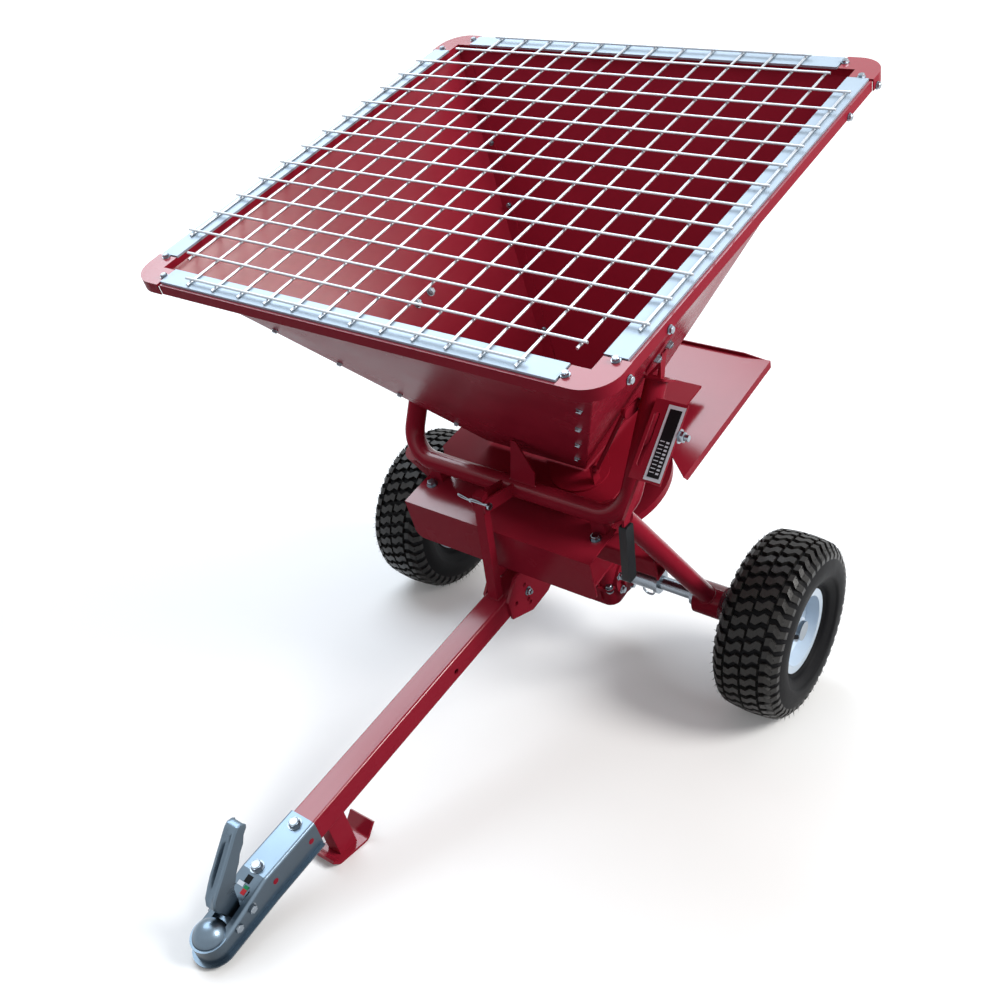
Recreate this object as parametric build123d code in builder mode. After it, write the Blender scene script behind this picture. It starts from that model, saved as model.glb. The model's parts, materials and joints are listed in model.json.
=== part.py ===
from build123d import *
import os
from math import acos, atan2, cos, hypot, radians, sin, tan

os.makedirs("parts", exist_ok=True)

# Trailed salt spreader: a square funnel hopper over one spinning disc, on a bent tube frame
# with two small tyres and a drawbar with a ball coupling. Millimetres and degrees.
# Sizes are given on the level machine, from the middle of its axle: X to its right, Y to its
# rear, Z up. Every piece is drawn where the machine parks, leaning forward on its skid foot.

# Wheels and axle
tyre_radius = 190.5
tyre_width = 145.0
bead_half = 46.0
rim_seat = 78.0
rim_flange = 90.0
track_half = 444.0
hub_radius = 26.0
hub_half = 40.0
stub_radius = 12.5
shaft_radius = 15.0
housing_radius = 36.0
housing_inner = 258.0
housing_length = 60.0

# Hopper
hopper_y = 12.0
hopper_top = 945.0
half_top = 432.0
half_bottom = 118.0
throat_gap = 8.0
sheet = 2.0
collar = 12.0
rim_reach = 38.0
rim_lip = 18.0
corner_arm = 72.0
corner_width = 44.0
corner_radius = 52.0
seam_flange = 26.0

# Wire grid and the strips below it
mesh_count = 16
wire_radius = 2.3
wire_stub = 11.0
strip_width = 37.0
strip_thick = 4.0

# Tube frame
tube_radius = 20.0
hoop_y = -190.0
hoop_z = 400.0
hoop_bend = 62.0
hoop_flare = 7.0
hoop_room = 4.4
upright_run = 262.0
upright_slope = 53.0
cap_thick = 4.0
beam_size = 50.0
beam_wall = 4.0
beam_y = -92.0
beam_z = 190.0

# Drawbar, coupling and foot
bar_size = 50.0
bar_wall = 4.0
bar_rise = 3.3
bar_rear = -78.0
bar_front = 735.0
pivot_y = -260.0
pivot_z = 182.0
plate_thick = 6.0
bolt_radius = 5.0
cross_hole = 6.0
cross_place = 233.0
shell = 3.0
coupling_lap = 108.0
ball_reach = 121.0
ball_radius = 25.2
nose_top = 7.0
coupling_edge = 7.0
foot_back = 45.0
foot_drop = 97.5
foot_half = 28.0
foot_plate = 5.0
foot_post = 40.0
foot_post_width = 30.0
stay_width = 22.0
stay_depth = 18.0
stay_top = 455.0
stay_pin_z = 432.0
stay_pin_radius = 4.0

# Spreading gear
box_width = 130.0
box_length = 130.0
box_low = -58.0
box_high = 54.0
box_offset = 15.0
neck_radius = 34.0
neck_length = 41.0
sleeve_radius = 23.0
sleeve_length = 60.0
disc_radius = 195.0
disc_z = 265.0
disc_sheet = 3.0
disc_lip = 18.0
vane_count = 4
vane_height = 38.0
deck_thick = 4.0
deck_half = 203.0
deck_back = 200.0
shutter_half = 90.0
lobe_x = 106.0
lobe_y = -108.0
lobe_radius = 57.0
hood_drop = 28.0
hood_half = 280.0
hood_rear = 350.0
hood_nose = -25.0
hood_flange = 18.0
guard_half = 220.0
guard_front = -275.0
guard_lug = 46.0
guard_drop = 101.0
guard_sheet = 2.5

# Controls
scale_slope = 34.0
scale_start = 232.0
scale_length = 146.0
scale_width = 62.0
lever_place = 212.0
lever_thick = 5.0
lever_length = 205.0
grip_length = 122.0
rod_radius = 4.0

# Clearances
seat_gap = 0.3
running_gap = 0.05

# Working values
rise = radians(bar_rise)
upright = radians(upright_slope)
down = radians(scale_slope)
rim_half = half_top + rim_reach
deck_z = hoop_z
hopper_bottom = deck_z + throat_gap
wall_lean = atan2(half_top - half_bottom, hopper_top - hopper_bottom)
wall_length = hypot(half_top - half_bottom, hopper_top - hopper_bottom)
rim_z = hopper_top + collar
coupling_rear = bar_front - coupling_lap
ball_place = bar_front + ball_reach
shell_in = bar_size / 2 + seat_gap
shell_out = shell_in + shell
edge_low = -bar_size / 2 - shell
nose_out = ball_radius + 2 * shell + 1
hood_z = deck_z - hood_drop
guard_top = hoop_z - guard_lug
housing_outer = housing_inner + housing_length
housing_mid = housing_inner + housing_length / 2


def on_bar(u, x=0.0, w=0.0):
    """A point u ahead of the pivot bolt along the drawbar, x beside it and w above its middle."""
    return (x, pivot_y - u * cos(rise) + w * sin(rise), pivot_z + u * sin(rise) + w * cos(rise))


# The foot's sole and both tyres meet the floor, which sets how far the parked machine leans.
# The origin is below the middle of its length, between the coupling's nose and the hood.
foot_place = coupling_rear - foot_back
sole_y, sole_z = on_bar(foot_place, 0, -bar_size / 2 - foot_drop)[1:]
lean = atan2(sole_y, sole_z) + acos(-tyre_radius / hypot(sole_y, sole_z))


def turned(direction):
    """A direction on the level machine, as the parked machine has it."""
    x, y, z = direction
    return Vector(x, y * cos(lean) - z * sin(lean), y * sin(lean) + z * cos(lean))


nose_y = turned(on_bar(ball_place + nose_out, 0, nose_top)).Y
rear_y = turned((0, hood_rear, hood_z - hood_flange)).Y
park_shift = -(nose_y + rear_y) / 2


def at(x, y, z):
    """A point on the level machine, where it parks."""
    return turned((x, y, z)) + Vector(0, park_shift, tyre_radius)


def on_machine(origin, x_dir, z_dir):
    """A plane on the level machine, where it parks."""
    return Plane(origin=at(*origin), x_dir=turned(x_dir), z_dir=turned(z_dir))


def level(z, x=0, y=0):
    """Plane across the height z: sketch x is X, sketch y is Y."""
    return on_machine((x, y, z), (1, 0, 0), (0, 0, 1))


def side(x):
    """Plane across the width x: sketch x is Y, sketch y is Z, extruding to the right."""
    return on_machine((x, 0, 0), (0, 1, 0), (1, 0, 0))


def across(y):
    """Plane across the length y: sketch x is X, sketch y is Z, extruding to the front."""
    return on_machine((0, y, 0), (1, 0, 0), (0, -1, 0))


def wall_half(z):
    """Half width of the funnel's outside at the height z."""
    return half_bottom + (z - hopper_bottom) * tan(wall_lean)


def wall_plane(out, depth=0.0):
    """Plane depth inside the funnel wall that faces along out: sketch y runs up the slope."""
    out_x, out_y = out
    normal = (out_x * cos(wall_lean), out_y * cos(wall_lean), -sin(wall_lean))
    foot = (
        out_x * half_bottom - depth * normal[0],
        hopper_y + out_y * half_bottom - depth * normal[1],
        hopper_bottom - depth * normal[2],
    )
    return on_machine(foot, (-out_y, out_x, 0), normal)


axle_line = Axis(at(0, 0, 0), turned((1, 0, 0)))
spin_line = Axis(at(0, hopper_y, 0), turned((0, 0, 1)))

# Hopper panels: each is one sloping trapezoid of sheet, folded at the top into an upright
# collar, an outward flange and a down-turned lip. Front and back run out to the corners. Left
# and right sit between them, with seam flanges that lie inside the front and back.
collar_run = half_top - 2 * sheet
flange_run = rim_half - corner_radius + 5
lip_run = rim_half - corner_arm - 1
seam_step = sheet / cos(wall_lean) + seat_gap
seam_low = half_bottom - sheet / 2
seam_high = half_top - sheet / 2
panels = (
    ("hopper_front", (0, -1), 0),
    ("hopper_back", (0, 1), 0),
    ("hopper_left", (-1, 0), seam_step),
    ("hopper_right", (1, 0), seam_step),
)
for panel_name, out, short in panels:
    out_x, out_y = out
    section = on_machine((0, hopper_y, 0), (out_x, out_y, 0), (out_y, -out_x, 0))
    low = half_bottom - short
    high = half_top - short
    folds = (
        (half_top - sheet, half_top, hopper_top - sheet, rim_z, collar_run),
        (half_top - sheet, rim_half, rim_z - sheet, rim_z, flange_run),
        (rim_half - sheet, rim_half, rim_z - rim_lip, rim_z, lip_run),
    )
    with BuildPart() as panel:
        with BuildSketch(wall_plane(out)):
            Polygon((-low, 0), (low, 0), (high, wall_length), (-high, wall_length), align=None)
        extrude(amount=-sheet)
        for inner, outer, bottom, top, run in folds:
            with BuildSketch(section):
                Polygon((inner, bottom), (outer, bottom), (outer, top), (inner, top), align=None)
            extrude(amount=run, both=True)
        if short:
            for end in (-1, 1):
                with BuildSketch(wall_plane((-out_y * end, out_x * end), sheet + seat_gap)):
                    Polygon(
                        (-end * (seam_low - seam_flange), 0),
                        (-end * seam_low, 0),
                        (-end * seam_high, wall_length),
                        (-end * (seam_high - seam_flange), wall_length),
                        align=None,
                    )
                    Rectangle(2 * rim_half, 2 * collar, mode=Mode.SUBTRACT)
                    with Locations((0, wall_length)):
                        Rectangle(2 * rim_half, 4 * collar, mode=Mode.SUBTRACT)
                extrude(amount=-sheet)
    panel.part.label = panel_name
    export_step(panel.part, f"parts/{panel_name}.step")

# Rim corner plates: pressed caps over the four corners of the flange, rounded outside, with a
# lip of their own that carries the panels' lips round the corner.
corner_out = rim_half + seat_gap + sheet
corner_in = corner_out - corner_width
corner_end = rim_half - corner_arm
with BuildPart() as rim_corners:
    for turn in range(4):
        ahead = (round(cos(radians(90 * turn))), round(sin(radians(90 * turn))), 0)
        spot = on_machine((0, hopper_y, rim_z + seat_gap), ahead, (0, 0, 1))
        with BuildSketch(spot) as cap:
            Polygon(
                (corner_end, corner_in),
                (corner_in, corner_in),
                (corner_in, corner_end),
                (corner_out, corner_end),
                (corner_out, corner_out),
                (corner_end, corner_out),
                align=None,
            )
            fillet(cap.vertices().sort_by_distance((corner_out, corner_out))[0], corner_radius)
        extrude(amount=sheet)
        with BuildSketch(spot) as skirt:
            Polygon(
                (corner_end, corner_end),
                (corner_out, corner_end),
                (corner_out, corner_out),
                (corner_end, corner_out),
                align=None,
            )
            fillet(skirt.vertices().sort_by_distance((corner_out, corner_out))[0], corner_radius)
            offset(amount=-sheet, mode=Mode.SUBTRACT)
            with Locations((corner_end, corner_end)):
                Rectangle(2 * (corner_arm + seat_gap), 2 * sheet, mode=Mode.SUBTRACT)
                Rectangle(2 * sheet, 2 * (corner_arm + seat_gap), mode=Mode.SUBTRACT)
        extrude(amount=-rim_lip - seat_gap)
rim_corners.part.label = "rim_corners"
export_step(rim_corners.part, "parts/rim_corners.step")

# Galvanised flat strips on the flange, between the corner plates.
strip_z = rim_z + seat_gap
strip_mid = rim_half - 5 - strip_width / 2
strip_long = 2 * (corner_end - 2)
with BuildPart() as rim_strips:
    with BuildSketch(level(strip_z, y=hopper_y)):
        with Locations((0, strip_mid), (0, -strip_mid)):
            Rectangle(strip_long, strip_width)
        with Locations((strip_mid, 0), (-strip_mid, 0)):
            Rectangle(strip_width, strip_long)
    extrude(amount=strip_thick)
rim_strips.part.label = "rim_strips"
export_step(rim_strips.part, "parts/rim_strips.step")

# Welded wire grid on the strips. The outer wires are shorter, which cuts its corners. Wires
# along Y lie below, wires along X on top of them.
half_count = (mesh_count - 1) / 2
mesh_pitch = (strip_mid + strip_width / 10) / half_count
low_wire = strip_z + strip_thick + wire_radius + seat_gap
high_wire = low_wire + 2 * wire_radius + seat_gap
wire_groups = (
    (half_count, [k - half_count for k in range(2, mesh_count - 2)]),
    (half_count - 1, [1 - half_count, half_count - 1]),
    (half_count - 2, [-half_count, half_count]),
)
with BuildPart() as wire_grid:
    for half_span, steps in wire_groups:
        reach = half_span * mesh_pitch + wire_stub
        with BuildSketch(across(hopper_y + reach)):
            with Locations(*[(step * mesh_pitch, low_wire) for step in steps]):
                Circle(wire_radius)
        extrude(amount=2 * reach)
        with BuildSketch(side(-reach)):
            with Locations(*[(hopper_y + step * mesh_pitch, high_wire) for step in steps]):
                Circle(wire_radius)
        extrude(amount=2 * reach)
wire_grid.part.label = "wire_grid"
export_step(wire_grid.part, "parts/wire_grid.step")


def post(along, ahead=0.0):
    """Y and Z of a point along the uprights from the hoop's foot, and ahead of their middle."""
    return (
        hoop_y + along * cos(upright) - ahead * sin(upright),
        hoop_z + along * sin(upright) + ahead * cos(upright),
    )


# Hoop frame: one bent tube, across in front of the disc and up both sides of the hopper,
# closed by cap plates. It carries lugs for the guard, two cheeks for the stay, the wire loop
# that holds the control cord and the cross hole for the lever's pivot.
post_top = post(upright_run)
hoop_half = wall_half(post_top[1]) + hoop_room + tube_radius - hoop_flare
post_x = hoop_half + hoop_flare
post_cut = on_machine((0, *post_top), (1, 0, 0), (0, cos(upright), sin(upright)))
hoop_plane = on_machine((0, hoop_y, hoop_z), (1, 0, 0), (0, -sin(upright), cos(upright)))
loop_plane = on_machine((0, *post(0, tube_radius / 2)), (1, 0, 0), (0, -sin(upright), cos(upright)))
cap_width = 2 * tube_radius + 2
cap_x = post_x + 6
loop_wire = 4.0
loop_height = 30.0
loop_half = 14.0
lug_x = guard_half - 26
lug_width = 30.0
lug_depth = 26.0
stay_low = guard_front - 43
stay_high = guard_front - 1
bar_top = pivot_z + (pivot_y - stay_low) * tan(rise) + bar_size / 2 / cos(rise)
stay_pin_y = stay_low + (stay_high - stay_low) * (stay_pin_z - bar_top) / (stay_top - bar_top)
cheek = 4.0
cheek_tall = 24.0
cheek_foot = 14.0
cheek_front = 10.0
cheek_in = stay_width / 2 + seat_gap
lever_pivot = post(lever_place)
pivot_radius = 8.0
with BuildPart() as hoop_frame:
    with BuildLine(hoop_plane) as hoop_path:
        FilletPolyline(
            (-post_x, upright_run),
            (-hoop_half, 0),
            (hoop_half, 0),
            (post_x, upright_run),
            radius=hoop_bend,
        )
    with BuildSketch(Plane(origin=hoop_path.line @ 0, z_dir=hoop_path.line % 0)):
        Circle(tube_radius)
    sweep()
    with BuildSketch(post_cut):
        with Locations((-cap_x, 0), (cap_x, 0)):
            RectangleRounded(cap_width, cap_width + 4, 5)
    extrude(amount=cap_thick)
    with BuildSketch(loop_plane):
        with Locations((post_x, upright_run + cap_thick - 1)):
            Polygon((-loop_half, 0), (loop_half, 0), (loop_half / 2, loop_height), align=None)
            Polygon(
                (loop_wire * 2 - loop_half, loop_wire),
                (loop_half - loop_wire * 1.2, loop_wire),
                (loop_half / 2 - 1, loop_height - loop_wire * 2.5),
                align=None,
                mode=Mode.SUBTRACT,
            )
    extrude(amount=loop_wire / 2, both=True)
    with BuildSketch(level(guard_top + seat_gap)):
        with Locations((-lug_x, hoop_y + 4), (lug_x, hoop_y + 4)):
            Rectangle(lug_width, lug_depth)
    extrude(amount=guard_lug - tube_radius / 2)
    for face in (cheek_in, -cheek_in - cheek):
        with BuildSketch(side(face)):
            Polygon(
                (hoop_y, hoop_z - cheek_foot),
                (hoop_y, hoop_z + cheek_foot),
                (stay_pin_y + cheek_front, stay_pin_z + cheek_tall / 2),
                (stay_pin_y - cheek_front, stay_pin_z + cheek_tall / 2),
                (stay_pin_y - cheek_front, stay_pin_z - cheek_tall / 2),
                align=None,
            )
            with Locations((stay_pin_y, stay_pin_z)):
                Circle(stay_pin_radius + running_gap, mode=Mode.SUBTRACT)
        extrude(amount=cheek)
    with BuildSketch(side(post_x - 2 * tube_radius)):
        with Locations(lever_pivot):
            Circle(pivot_radius + running_gap)
    extrude(amount=4 * tube_radius, mode=Mode.SUBTRACT)
hoop_frame.part.label = "hoop_frame"
export_step(hoop_frame.part, "parts/hoop_frame.step")

# Side brackets: a plate on each side wall, with a tab down to the upright's cap plate.
bracket = 3.0
tab_thick = 4.0
tab_back = 20.0
plate_tall = 62.0
plate_front = 66.0
plate_rear = 10.0
plate_cut = 28.0
tab_top = hopper_bottom + (post_x - seat_gap - bracket / 2 - half_bottom) / tan(wall_lean)
tab_foot = upright_run + cap_thick + seat_gap
cap_front = post(tab_foot)
cap_rear = post(tab_foot, -tube_radius)
plate_low = (tab_top - hopper_bottom - 12) / cos(wall_lean)
plate_high = plate_low + plate_tall
with BuildPart() as side_brackets:
    for sign in (-1, 1):
        with BuildSketch(wall_plane((sign, 0), -seat_gap)) as plate:
            Polygon(
                (-sign * plate_front, plate_low),
                (sign * plate_rear, plate_low),
                (sign * plate_rear, plate_high),
                (-sign * (plate_front - plate_cut), plate_high),
                (-sign * plate_front, plate_high - plate_cut),
                align=None,
            )
            fillet(plate.vertices(), 5)
        extrude(amount=bracket)
        with BuildSketch(side(min(sign * post_x, sign * (post_x + tab_thick)))):
            Polygon(
                cap_front,
                cap_rear,
                (cap_rear[0] + tab_back, tab_top),
                (cap_front[0] + tab_back, tab_top),
                align=None,
            )
        extrude(amount=tab_thick)
side_brackets.part.label = "side_brackets"
export_step(side_brackets.part, "parts/side_brackets.step")

# Front bracket: a tapered plate from the hoop's tube back and up to the front wall.
bracket_thick = 4.0
bracket_foot = hoop_z + tube_radius + seat_gap
bracket_top = deck_z + 100
bracket_rise = bracket_top - bracket_foot
bracket_back = hopper_y - wall_half(bracket_top) - hoop_y
bracket_length = hypot(bracket_back, bracket_rise)
bracket_up = (0, bracket_back / bracket_length, bracket_rise / bracket_length)
bracket_face = (0, -bracket_up[2], bracket_up[1])
bracket_end = bracket_length - 6
bracket_left = 5.0
bracket_wide = 55.0
bracket_neck = 11.0
bracket_step = 26.0
with BuildPart() as front_bracket:
    with BuildSketch(on_machine((0, hoop_y, bracket_foot), (1, 0, 0), bracket_face)):
        Polygon(
            (bracket_left, 0),
            (bracket_left + bracket_wide, 0),
            (bracket_left + bracket_wide, bracket_step),
            (bracket_left + bracket_neck, bracket_end),
            (bracket_left, bracket_end),
            align=None,
        )
    extrude(amount=bracket_thick)
front_bracket.part.label = "front_bracket"
export_step(front_bracket.part, "parts/front_bracket.step")

# Axle arms: straight tubes from the hoop's lower bends back and down to the wheel bearings.
arm_top = hoop_half - 6
arm_start = hoop_z + 4
for arm_name, sign in (("axle_arm_left", -1), ("axle_arm_right", 1)):
    start = Vector(sign * arm_top, hoop_y + 4, arm_start)
    run = Vector(sign * housing_mid, 0, 0) - start
    with BuildPart() as arm:
        with BuildSketch(on_machine(tuple(start), (1, 0, 0), tuple(run.normalized()))):
            Circle(tube_radius)
        extrude(amount=run.length)
        add(hoop_frame.part, mode=Mode.SUBTRACT)
        with BuildSketch(side(sign * housing_mid - 2 * housing_radius)):
            Circle(housing_radius)
        extrude(amount=4 * housing_radius, mode=Mode.SUBTRACT)
    tube = arm.part.solids().sort_by(SortBy.VOLUME)[-1]
    tube.label = arm_name
    export_step(tube, f"parts/{arm_name}.step")

# Right bearing housing, in which the drive shaft turns.
with BuildPart() as bearing_right:
    with BuildSketch(side(housing_inner)):
        Circle(housing_radius)
        Circle(shaft_radius + running_gap, mode=Mode.SUBTRACT)
    extrude(amount=housing_length)
bearing_right.part.label = "bearing_right"
export_step(bearing_right.part, "parts/bearing_right.step")

# Left axle: a like housing that holds a fixed stub, on which the free wheel turns.
hub_in = track_half - hub_half
hub_out = track_half + hub_half
shoulder = stub_radius + 8
end_gap = 1.0
end_cap = 8.0
with BuildPart() as axle_left:
    with BuildSketch(level(0)):
        Polygon(
            (-housing_inner, 0),
            (-housing_inner, housing_radius),
            (-housing_outer, housing_radius),
            (-housing_outer, shoulder),
            (end_gap - hub_in, shoulder),
            (end_gap - hub_in, stub_radius),
            (-hub_out - end_gap, stub_radius),
            (-hub_out - end_gap, shoulder),
            (-hub_out - end_gap - end_cap, shoulder),
            (-hub_out - end_gap - end_cap, 0),
            align=None,
        )
    revolve(axis=axle_line)
axle_left.part.label = "axle_left"
export_step(axle_left.part, "parts/axle_left.step")

# Wheels: a pressed steel rim with a dished disc and a hub tube, and a low turf tyre on it.
bulge_x = tyre_width / 2
bulge_r = (rim_flange + tyre_radius) / 2 - 6
bead_top = rim_flange + 2
shoulder_x = bulge_x - 10.5
shoulder_r = tyre_radius - 16.5
edge_x = shoulder_x - 8
edge_r = tyre_radius - 5.5
barrel = rim_seat - seat_gap
well = barrel - 10
well_half = 16.0
rim_sheet = 3.0
disc_place = 4.0
disc_dish = 18.0
disc_steel = 4.0
lip_in = bead_half + seat_gap
for wheel_side, sign, bore in (("left", -1, stub_radius), ("right", 1, shaft_radius)):
    with BuildPart() as tyre:
        with BuildSketch(level(0, x=sign * track_half)):
            with BuildLine():
                Polyline(
                    (bead_half, bead_top),
                    (bead_half, rim_seat),
                    (-bead_half, rim_seat),
                    (-bead_half, bead_top),
                )
                ThreePointArc((-bead_half, bead_top), (-bulge_x, bulge_r), (-shoulder_x, shoulder_r))
                Line((-shoulder_x, shoulder_r), (-edge_x, edge_r))
                ThreePointArc((-edge_x, edge_r), (0, tyre_radius), (edge_x, edge_r))
                Line((edge_x, edge_r), (shoulder_x, shoulder_r))
                ThreePointArc((shoulder_x, shoulder_r), (bulge_x, bulge_r), (bead_half, bead_top))
            make_face()
        revolve(axis=axle_line)
    tyre.part.label = f"tyre_{wheel_side}"
    export_step(tyre.part, f"parts/tyre_{wheel_side}.step")
    with BuildPart() as rim:
        with BuildSketch(level(0, x=sign * track_half)):
            Polygon(
                (-lip_in - rim_sheet, rim_flange),
                (-lip_in, rim_flange),
                (-lip_in, barrel),
                (-well_half - 4, barrel),
                (-well_half, well),
                (well_half, well),
                (well_half + 4, barrel),
                (lip_in, barrel),
                (lip_in, rim_flange),
                (lip_in + rim_sheet, rim_flange),
                (lip_in + rim_sheet, barrel - rim_sheet),
                (well_half + 6, barrel - rim_sheet),
                (well_half + 2, well - rim_sheet),
                (-well_half - 2, well - rim_sheet),
                (-well_half - 6, barrel - rim_sheet),
                (-lip_in - rim_sheet, barrel - rim_sheet),
                align=None,
            )
            Polygon(
                (sign * disc_place, well - 1),
                (sign * (disc_place + disc_steel), well - 1),
                (sign * (disc_place + disc_steel + disc_dish), hub_radius - 2),
                (sign * (disc_place + disc_dish), hub_radius - 2),
                align=None,
            )
            with Locations((0, (hub_radius + bore + running_gap) / 2)):
                Rectangle(2 * hub_half, hub_radius - bore - running_gap)
        revolve(axis=axle_line)
    rim.part.label = f"rim_{wheel_side}"
    export_step(rim.part, f"parts/rim_{wheel_side}.step")

# Drive shaft: turns with the right wheel and carries the zinc sleeve that the lynch pin locks
# to the gearbox's input.
box_right = box_offset + box_width / 2
box_left = box_offset - box_width / 2
neck_right = box_right + neck_length - 26
sleeve_start = neck_right + 5
sleeve_end = sleeve_start + sleeve_length
input_radius = stub_radius - 0.5
collar_radius = shaft_radius + 9
collar_in = housing_inner - end_gap
with BuildPart() as drive_shaft:
    with BuildSketch(level(0)):
        Polygon(
            (box_right - 8, 0),
            (box_right - 8, input_radius),
            (sleeve_start, input_radius),
            (sleeve_start, sleeve_radius),
            (sleeve_end, sleeve_radius),
            (sleeve_end, sleeve_radius + 3),
            (sleeve_end + 8, sleeve_radius + 3),
            (sleeve_end + 8, shaft_radius),
            (collar_in - 11, shaft_radius),
            (collar_in - 11, collar_radius),
            (collar_in, collar_radius),
            (collar_in, shaft_radius),
            (hub_out + end_gap, shaft_radius),
            (hub_out + end_gap, shoulder),
            (hub_out + end_gap + end_cap, shoulder),
            (hub_out + end_gap + end_cap, 0),
            align=None,
        )
    revolve(axis=axle_line)
drive_shaft.part.label = "drive_shaft"
export_step(drive_shaft.part, "parts/drive_shaft.step")

# Lynch pin through the sleeve: its head and the spring ring on it.
pin_x = (sleeve_start + sleeve_end) / 2
pin_head = sleeve_radius + 11
ring_radius = 15.0
with BuildPart() as lynch_pin:
    with BuildSketch(level(-pin_head, x=pin_x)):
        Circle(rod_radius)
    extrude(amount=pin_head - sleeve_radius - seat_gap)
    with BuildSketch(across(0)):
        with Locations((pin_x, -pin_head - ring_radius / 2)):
            Circle(ring_radius)
            Circle(ring_radius - 3.5, mode=Mode.SUBTRACT)
    extrude(amount=2, both=True)
lynch_pin.part.label = "lynch_pin"
export_step(lynch_pin.part, "parts/lynch_pin.step")

# Cross beam: square tube between the axle arms, behind the guard.
arm_slope = (housing_mid - arm_top) / arm_start
arm_near = arm_top + arm_slope * (arm_start - beam_z - beam_size / 2)
beam_half = arm_near - tube_radius * hypot(1, arm_slope) - seat_gap
beam_inside = beam_size - 2 * beam_wall
with BuildPart() as cross_beam:
    with BuildSketch(side(-beam_half)):
        with Locations((beam_y, beam_z)):
            RectangleRounded(beam_size, beam_size, 5)
            RectangleRounded(beam_inside, beam_inside, 2, mode=Mode.SUBTRACT)
    extrude(amount=2 * beam_half)
cross_beam.part.label = "cross_beam"
export_step(cross_beam.part, "parts/cross_beam.step")

# Bevel gearbox: a casting with a split flange, a round cover and neck for the drive on its
# right, a neck for the disc's shaft on top and upright ribs.
split_thick = 8.0
rib = 7.0
rib_step = box_width / 4
with BuildPart() as gearbox:
    with BuildSketch(level(box_low, x=box_offset)):
        RectangleRounded(box_width, box_length, 26)
    extrude(amount=box_high - box_low)
    with BuildSketch(level(-split_thick / 2, x=box_offset)):
        RectangleRounded(box_width + 6, box_length + 16, 28)
    extrude(amount=split_thick)
    with BuildSketch(level(box_low + 16, x=box_offset)):
        with Locations((-rib_step, 0), (0, 0), (rib_step, 0)):
            Rectangle(rib, box_length + 12)
    extrude(amount=box_high - box_low - 28)
    with BuildSketch(side(box_right - 6)):
        Circle(neck_radius + 18)
    extrude(amount=12)
    with BuildSketch(side(box_right - 6)):
        Circle(neck_radius)
    extrude(amount=neck_right - box_right + 6)
    with BuildSketch(level(box_high - 6, y=hopper_y)):
        Circle(neck_radius)
    extrude(amount=neck_length + 6)
    with BuildSketch(side(box_right - 15)):
        Circle(input_radius + running_gap)
    extrude(amount=neck_length + 15, mode=Mode.SUBTRACT)
    with BuildSketch(level(box_high, y=hopper_y)):
        Circle(stub_radius + running_gap)
    extrude(amount=neck_length + 15, mode=Mode.SUBTRACT)
gearbox.part.label = "gearbox"
export_step(gearbox.part, "parts/gearbox.step")

# Gearbox cradle: a folded plate under the cross beam, with the casting hung below it.
beam_front = beam_y - beam_size / 2
cradle_thick = 6.0
cradle_low = box_high + seat_gap
cradle_high = beam_z - beam_size / 2 - seat_gap
cradle_rear = box_length / 2 - 4
with BuildPart() as gearbox_cradle:
    with BuildSketch(side(box_left + 5)):
        Polygon(
            (beam_front, cradle_high),
            (beam_front, cradle_low),
            (cradle_rear, cradle_low),
            (cradle_rear, cradle_low + cradle_thick),
            (beam_front + cradle_thick, cradle_low + cradle_thick),
            (beam_front + cradle_thick, cradle_high),
            align=None,
        )
    extrude(amount=box_width - 10)
    with BuildSketch(level(cradle_low - 2, y=hopper_y)):
        Circle(neck_radius + seat_gap)
    extrude(amount=cradle_thick + 4, mode=Mode.SUBTRACT)
gearbox_cradle.part.label = "gearbox_cradle"
export_step(gearbox_cradle.part, "parts/gearbox_cradle.step")

# Spinner shaft: up from the gearbox through the disc, deck and shutter into the hopper's
# throat, with the agitator's fingers at its top.
shaft_foot = box_high + 8
finger_z = hopper_bottom + 40
finger_radius = 5.0
with BuildPart() as spinner_shaft:
    with BuildSketch(level(shaft_foot, y=hopper_y)):
        Circle(stub_radius)
    extrude(amount=finger_z + 20 - shaft_foot)
    with BuildSketch(side(-half_bottom / 2)):
        with Locations((hopper_y, finger_z)):
            Circle(finger_radius)
    extrude(amount=half_bottom)
    with BuildSketch(across(hopper_y + half_bottom / 2)):
        with Locations((0, finger_z - 18)):
            Circle(finger_radius)
    extrude(amount=half_bottom)
spinner_shaft.part.label = "spinner_shaft"
export_step(spinner_shaft.part, "parts/spinner_shaft.step")

# Spinning disc: flat sheet with a down-turned edge, a hub and angled throwing vanes.
disc_hub = hub_radius + 4
disc_in = disc_radius - disc_sheet
disc_bore = stub_radius + running_gap
vane_in = 50.0
vane_long = disc_radius - 9 - vane_in
vane_mid = vane_in + vane_long / 2
vane_sheet = 3.0
with BuildPart() as spinner_disc:
    with BuildSketch(across(hopper_y)):
        Polygon(
            (disc_bore, disc_z - 40),
            (disc_hub, disc_z - 40),
            (disc_hub, disc_z - disc_sheet),
            (disc_in, disc_z - disc_sheet),
            (disc_in, disc_z - disc_lip),
            (disc_radius, disc_z - disc_lip),
            (disc_radius, disc_z),
            (disc_bore, disc_z),
            align=None,
        )
    revolve(axis=spin_line)
    for turn in range(vane_count):
        angle = radians(360 / vane_count * turn + 28)
        vane_plane = on_machine((0, hopper_y, disc_z - 1), (cos(angle), sin(angle), 0), (0, 0, 1))
        with BuildSketch(vane_plane):
            with Locations((vane_mid, 14)):
                Rectangle(vane_long, vane_sheet)
        extrude(amount=vane_height + 1)
        with BuildSketch(vane_plane):
            with Locations((vane_mid, 7)):
                Rectangle(vane_long, 16)
        extrude(amount=vane_sheet + 1)
spinner_disc.part.label = "spinner_disc"
export_step(spinner_disc.part, "parts/spinner_disc.step")

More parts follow.
